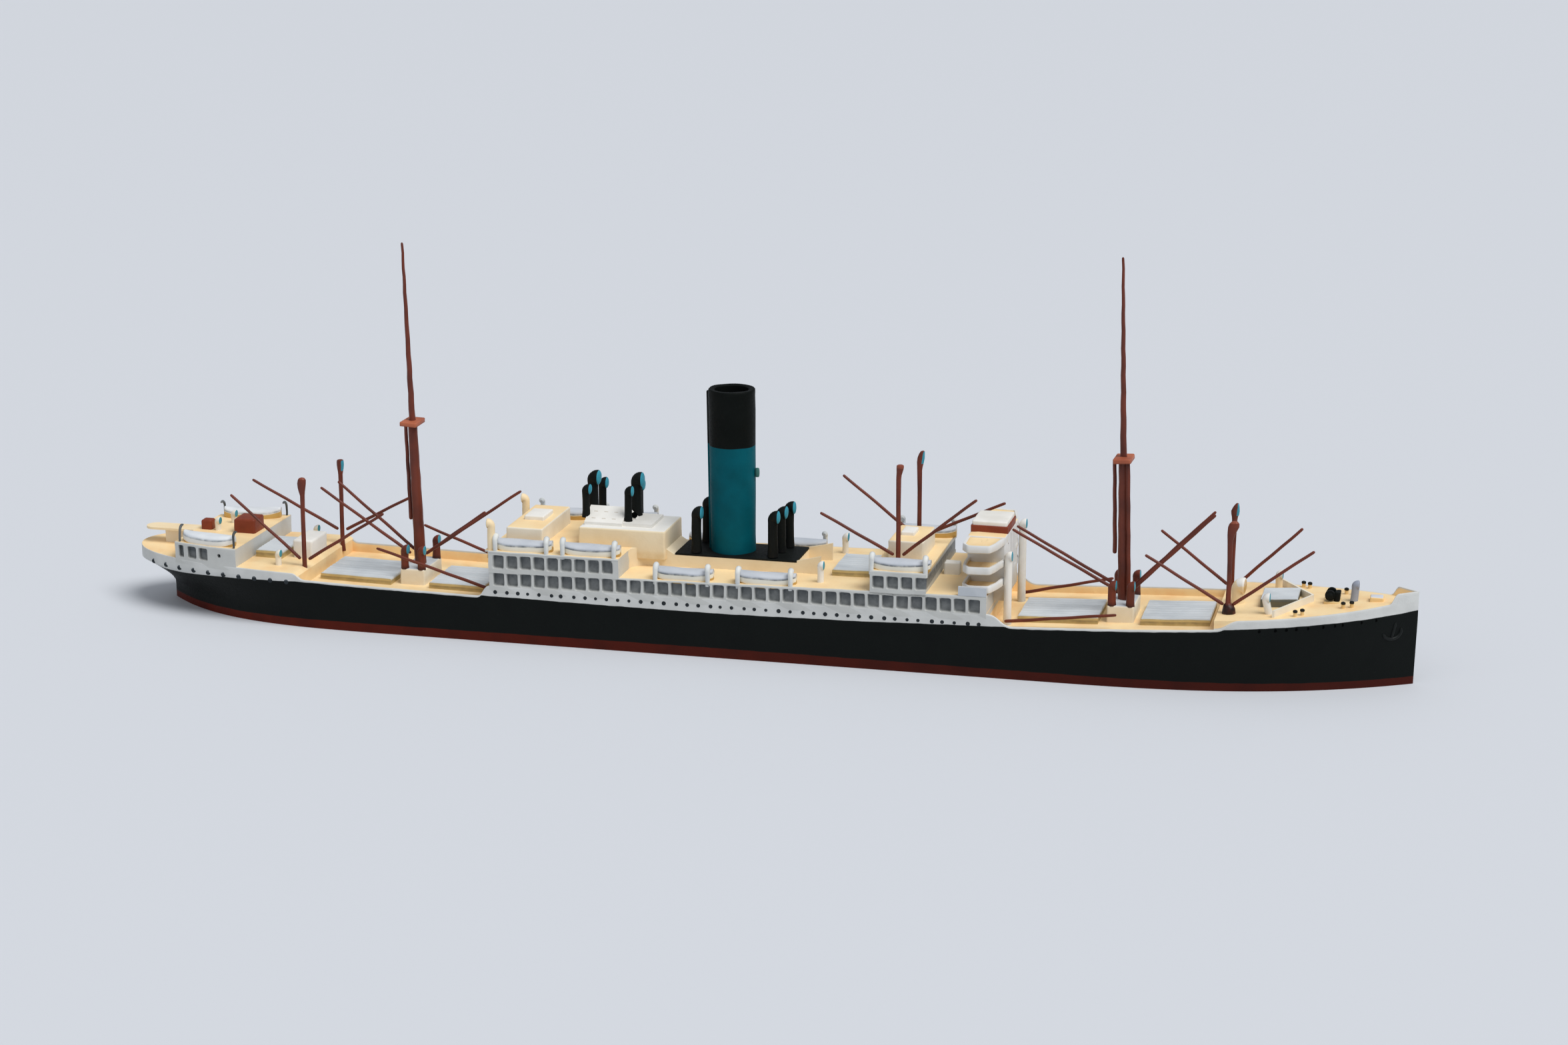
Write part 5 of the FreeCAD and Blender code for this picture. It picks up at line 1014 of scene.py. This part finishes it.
def make_funnel():
    """The funnel: a slightly flaring tube with a black top, a thickened rim and a hollow."""
    _, high = corners(solids("funnel")[0])
    z = np.array([8.3, FUNNEL_FOOT_Z, 8.6, 10.0, 12.0, 14.0, 16.0, 18.68, 18.72, 20.0,
                  22.0, 23.4, 23.75, 23.97, high[2], high[2], 23.95, 23.3, 21.6, 21.55])
    radii = np.array([2.1, 2.12, 2.11, 2.11, 2.13, 2.14, 2.16, 2.18, 2.18, 2.19,
                      2.2, 2.21, 2.22, 2.2, 2.12, 1.78, 1.62, 1.56, 1.5, 0.3])
    share = (z - FUNNEL_FOOT_Z) / (high[2] - FUNNEL_FOOT_Z)
    path = np.stack([FUNNEL_X - FUNNEL_LEAN * share, np.zeros(len(z)), z], -1)
    path[-1, 2] -= 0.02
    inner_rim, throat = 15, 17          # the first rings inside the rim and down the hollow
    second = (z > FUNNEL_BLACK_Z).astype(float)
    second[inner_rim:] = 1.0
    # Painted shade down the funnel's hollow.
    wash = np.zeros(len(z))
    wash[throat:] = 1.0
    turn = round_turn(56)
    ring = np.stack([np.cos(turn), np.sin(turn), np.zeros(len(turn))], -1)
    piece = Piece("funnel_turned", ["funnel"], "funnel_paint", funnel_paint, 40)
    piece.surface(wobble(path[:, None] + ring[None] * radii[:, None, None], 0.015), second=second[:, None],
                  wash=wash[:, None])
    piece.finish()


# ---------------------------------------------------------------- hatches

def make_hatches():
    """Hatches: rings across the ship up a coaming, round its edge and over a covered top,
    lightly ridged where the boards lie beneath the canvas."""
    for name in ("well_deck_hatches", "small_hatches"):
        for piece, points, low, high in each_solid(name, "_covered", "hatch_paint", hatch_paint, 35):
            # the deck slopes, so the top's height is read at both ends
            tops = [points[np.abs(points[:, 0] - end) < 0.05][:, 2].max() for end in (low[0], high[0])]
            xs = np.concatenate([[low[0]], np.linspace(low[0] + 0.05, high[0] - 0.05, 40), [high[0]]])
            top = np.interp(xs, [low[0], high[0]], tops)
            half = (high[1] - low[1]) / 2
            v = np.linspace(-1, 1, 61)
            across = half - 0.1
            ridges = 0.018 * np.cos(v * math.pi * 8) + 0.03 * (1 - v ** 2)
            inner = np.ones((len(xs), 1))
            inner[[0, -1]] = 0.0
            up = [top[:, None] - down for down in (0.75, 0.3, 0.16, 0.07)]
            z = np.concatenate(up + [up[-1] + (0.07 + ridges[None]) * inner] + up[::-1], axis=1)
            edge = np.array([half, half, half, half - 0.02])
            y_row = np.concatenate([-edge, v * across, edge[::-1]])
            y = np.broadcast_to(y_row, z.shape)
            x = np.broadcast_to(xs[:, None], z.shape)
            second = np.broadcast_to((np.abs(y_row) > across + 0.02).astype(float), z.shape)
            third = second * float(low[0] > FORECASTLE_BREAK_X)
            # Painted shade on the upper coaming, below the edge of the cover.
            wash = np.zeros(z.shape)
            wash[:, [1, -2]] = 0.7
            wash[:, [3, -4]] = 0.5
            piece.surface(wobble(np.stack([x, y, z], -1), 0.012), second=second, third=third, wash=wash)


def make_bollards():
    """Bollards: short posts with a wider dark cap, rounded over at the top."""
    down = np.array([0.8, 0.45, 0.26, 0.24, 0.18, 0.06, 0.0])
    for piece, _, low, high in each_solid("bollards", "_turned", "cream_paint", post_cream, 50):
        middle = (low + high) / 2
        path = np.stack([np.full(7, middle[0]), np.full(7, middle[1]), high[2] - down], -1)
        piece.tube(path, (0.17, 0.17, 0.17, 0.2, 0.22, 0.2, 0.08), 14, (1, 0, 0), second=(down < 0.25) * 1.0)


def make_windlass():
    """The windlass: a bed plate, and across it a shaft that swells into two drums and two
    rounded ends, the same to port as to starboard, with a gear case ahead."""
    low, high = corners(solids("windlass")[0])
    x, deck, top = (low[0] + high[0]) / 2, high[2] - 1.25, high[2]
    bed = Piece("windlass_bed", ["windlass"], "black_paint", post_cream)
    casting(bed, ((low[0], -0.9, deck - 0.2), (high[0], 0.9, deck + 0.2)), 0.08, top=0.0, size=0.03)
    bed.finish()
    gear = Piece("windlass_gear", ["windlass"], "black_paint", black, 50)
    out = np.array([0.1, 0.42, 0.45, 0.78, 0.8, 0.85, 1.0, 1.05])
    radii = np.array([0.24, 0.28, 0.48, 0.46, 0.3, 0.3, 0.26, 0.12])
    y, radii = np.concatenate([-out[::-1], out]), np.concatenate([radii[::-1], radii])
    path = np.stack([np.full(len(y), x - 0.15), y, np.full(len(y), top - 0.5)], -1)
    gear.tube(wobble(path, 0.04), radii, 18, (1, 0, 0))
    casting(gear, ((x + 0.2, -0.5, deck), (x + 0.7, 0.4, top - 0.15)), 0.12, top=0.0, size=0.05)
    gear.finish()


def make_anchors():
    """Anchors laid flat on the bow: an upright shank and, round its foot, arms that follow
    part of a circle."""
    for piece, _, low, high in each_solid("anchors", "_cast", "black_paint", relief_black, 50):
        side = 1 if high[1] > 0 else -1
        x, z = (low[0] + high[0]) / 2, (low[2] + high[2]) / 2
        angle = np.radians(np.linspace(-165, 15, 19))
        arms = np.stack([x + 0.78 * np.cos(angle), z + 0.1 + 0.78 * np.sin(angle)], -1)
        shank = np.stack([np.linspace(x + 0.3, x - 0.05, 9), np.linspace(z + 0.85, z - 0.65, 9)], -1)
        for line, thick in ((arms, 0.17), (shank, 0.15)):
            across = half_breadth(line[:, 0], line[:, 1]) - 0.02
            path = np.stack([line[:, 0], side * across, line[:, 1]], -1)
            ends = np.interp(np.linspace(0, 1, len(path)), [0, 0.08, 0.92, 1], [0.4, 1, 1, 0.4])
            piece.tube(path, thick * ends, 12, (0, 1, 0))


def make_funnel_fittings():
    """The steam pipe beside the funnel, dark above the funnel's own line, and the whistle."""
    low, high = corners(solids("steam_pipe")[0])
    z = np.array([low[2], low[2] + 0.1, 12.0, 16.0, 18.66, 18.74, 21.0, high[2] - 0.4, high[2] - 0.3])
    x = np.interp(z, [low[2], high[2]], [high[0] - 0.1, low[0] + 0.22])
    piece = Piece("steam_pipe_drawn", ["steam_pipe"], "funnel_paint", funnel_paint, 50)
    piece.tube(wobble(np.stack([x, np.zeros(9), z], -1), 0.01), np.array([0.15] * 8 + [0.08]), 12, (0, 1, 0),
               second=(z > FUNNEL_BLACK_Z) * 1.0)
    piece.finish()
    low, high = corners(solids("whistle")[0])
    piece = Piece("whistle_turned", ["whistle"], "funnel_paint", whistle_paint, 50)
    down = np.linspace(0, math.pi, 9)
    path = np.stack([np.full(9, (low[0] + high[0]) / 2), np.zeros(9),
                     (low[2] + high[2]) / 2 + 0.5 * (high[2] - low[2]) * np.cos(down)], -1)
    piece.tube(path, 0.03 + 0.2 * np.sin(down) ** 0.4, 14, (1, 0, 0))
    piece.finish()


def make_casing_fittings():
    """The lights of the engine skylight, three to a row on each slope, and the round opening
    of the companion."""
    lights = Piece("skylight_lights", [], "white_paint", light_paint)
    low, high = corners(solids("engine_skylight")[0])
    rise = (high[2] - 0.3 - (low[2] + 1.0)) / high[1]
    for side in (-1, 1):
        for row in (0.62, 1.5):
            for x in low[0] + np.array([0.75, 1.75, 2.75]):
                z = high[2] - rise * row
                box = (x - 0.22, side * row - 0.2, z - 0.3), (x + 0.22, side * row + 0.2, z - 0.06)
                casting(lights, box, 0.05, top=0.0, foot_shade=0.0, size=0.0)
    lights.finish()
    door = Piece("companion_opening", [], "black_paint", black_hole)
    low, high = corners(solids("casing_companion")[0])
    x, z = low[0] + 0.75, high[2] - 0.42
    path = [(x, -0.55 - d, z) for d in (-0.1, 0.01, 0.03, 0.0)]
    door.tube(path, np.array([0.3, 0.3, 0.26, 0.1]), 16, (0, 0, 1))
    door.finish()


# ---------------------------------------------------------------- finish of the nodes that stay

def carry_nodes():
    """Paint for the nodes whose own shape stays."""
    jobs = [
        ("engine_skylight", roof_paint), ("casing_companion", roof_paint), ("breakwater", pale_cream),
        ("funnel_casing", casing_paint), ("windscreens", casing_paint),
        ("bridge_side_screens", screen_grey), ("docking_bridge", cream),
    ]
    for name, paint in jobs:
        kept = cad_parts[name]
        kept.data.materials.clear()
        kept.data.materials.append(paint)


# ---------------------------------------------------------------- stage, light and camera

def make_stage():
    """A plain pale floor."""
    reach = 3.0
    mesh = bpy.data.meshes.new("floor")
    outline = [(-reach, -reach, 0), (reach, -reach, 0), (reach, reach, 0), (-reach, reach, 0)]
    mesh.from_pydata(outline, [], [(0, 1, 2, 3)])
    floor = bpy.data.objects.new("floor", mesh)
    bpy.context.scene.collection.objects.link(floor)
    mat = bpy.data.materials.new("pale_table")
    mat.use_nodes = True
    shader = mat.node_tree.nodes["Principled BSDF"]
    shader.inputs["Base Color"].default_value = tint((213, 216, 221))
    shader.inputs["Roughness"].default_value = 0.7
    mesh.materials.append(mat)


def make_light():
    """An even room, whose background looks a little paler than the light it gives, with a
    broad key from above and a weak fill from the side."""
    world = bpy.data.worlds.new("room")
    bpy.context.scene.world = world
    world.use_nodes = True
    tree = world.node_tree
    background = tree.nodes["Background"]
    rays = node(tree, "ShaderNodeLightPath").outputs
    direct = calc(tree, "MAXIMUM", rays["Is Camera Ray"], rays["Is Glossy Ray"])
    seen = calc(tree, "MAXIMUM", direct, rays["Is Transmission Ray"])
    colour = blend(tree, seen, tint((225, 230, 238)), tint((208, 214, 224)))
    tree.links.new(colour, background.inputs["Color"])
    background.inputs["Strength"].default_value = 0.44
    lamps = (("key", (0.55, -0.25, 1.05), 36.0, 2.35), ("fill", (-0.6, -0.9, 0.6), 60.0, 0.2))
    for name, place, angle, power in lamps:
        lamp = bpy.data.lights.new(name, "SUN")
        lamp.angle, lamp.energy = math.radians(angle), power
        made = bpy.data.objects.new(name, lamp)
        made.location = place
        made.rotation_euler = (-Vector(place)).to_track_quat("-Z", "Y").to_euler()
        bpy.context.scene.collection.objects.link(made)


def make_camera():
    """The camera looks from starboard and a little ahead of the beam, from slightly above."""
    azimuth, elevation, roll = (math.radians(a) for a in (13.6388, 14.6161, 0.0685))
    distance, target = 291.288, Vector((3.2357, 0.0, 11.4110))
    level_back = Vector((math.sin(azimuth), -math.cos(azimuth), 0.0))
    back = level_back * math.cos(elevation) + Vector((0.0, 0.0, math.sin(elevation)))
    right = Vector((math.cos(azimuth), math.sin(azimuth), 0.0))
    up = back.cross(right)
    turned_right = math.cos(roll) * right + math.sin(roll) * up
    turned_up = -math.sin(roll) * right + math.cos(roll) * up
    lens = bpy.data.cameras.new("camera")
    lens.sensor_width, lens.lens = 36.0, 71.158
    lens.clip_start, lens.clip_end = 0.01, 20.0
    camera = bpy.data.objects.new("camera", lens)
    turn = Matrix((turned_right, turned_up, back)).transposed().to_4x4()
    camera.matrix_world = Matrix.Translation((target + back * distance) * MM) @ turn
    bpy.context.scene.collection.objects.link(camera)
    bpy.context.scene.camera = camera
    bpy.context.scene.view_settings.view_transform = "Standard"


# ---------------------------------------------------------------- all of it, in order

for make in (make_hull, make_ports, make_houses, make_blocks, make_wings, make_vents,
             make_posts, make_booms, make_masts, make_boats, make_funnel, make_hatches,
             make_bollards, make_windlass, make_anchors, make_funnel_fittings, make_casing_fittings,
             carry_nodes, make_stage, make_light, make_camera):
    make()
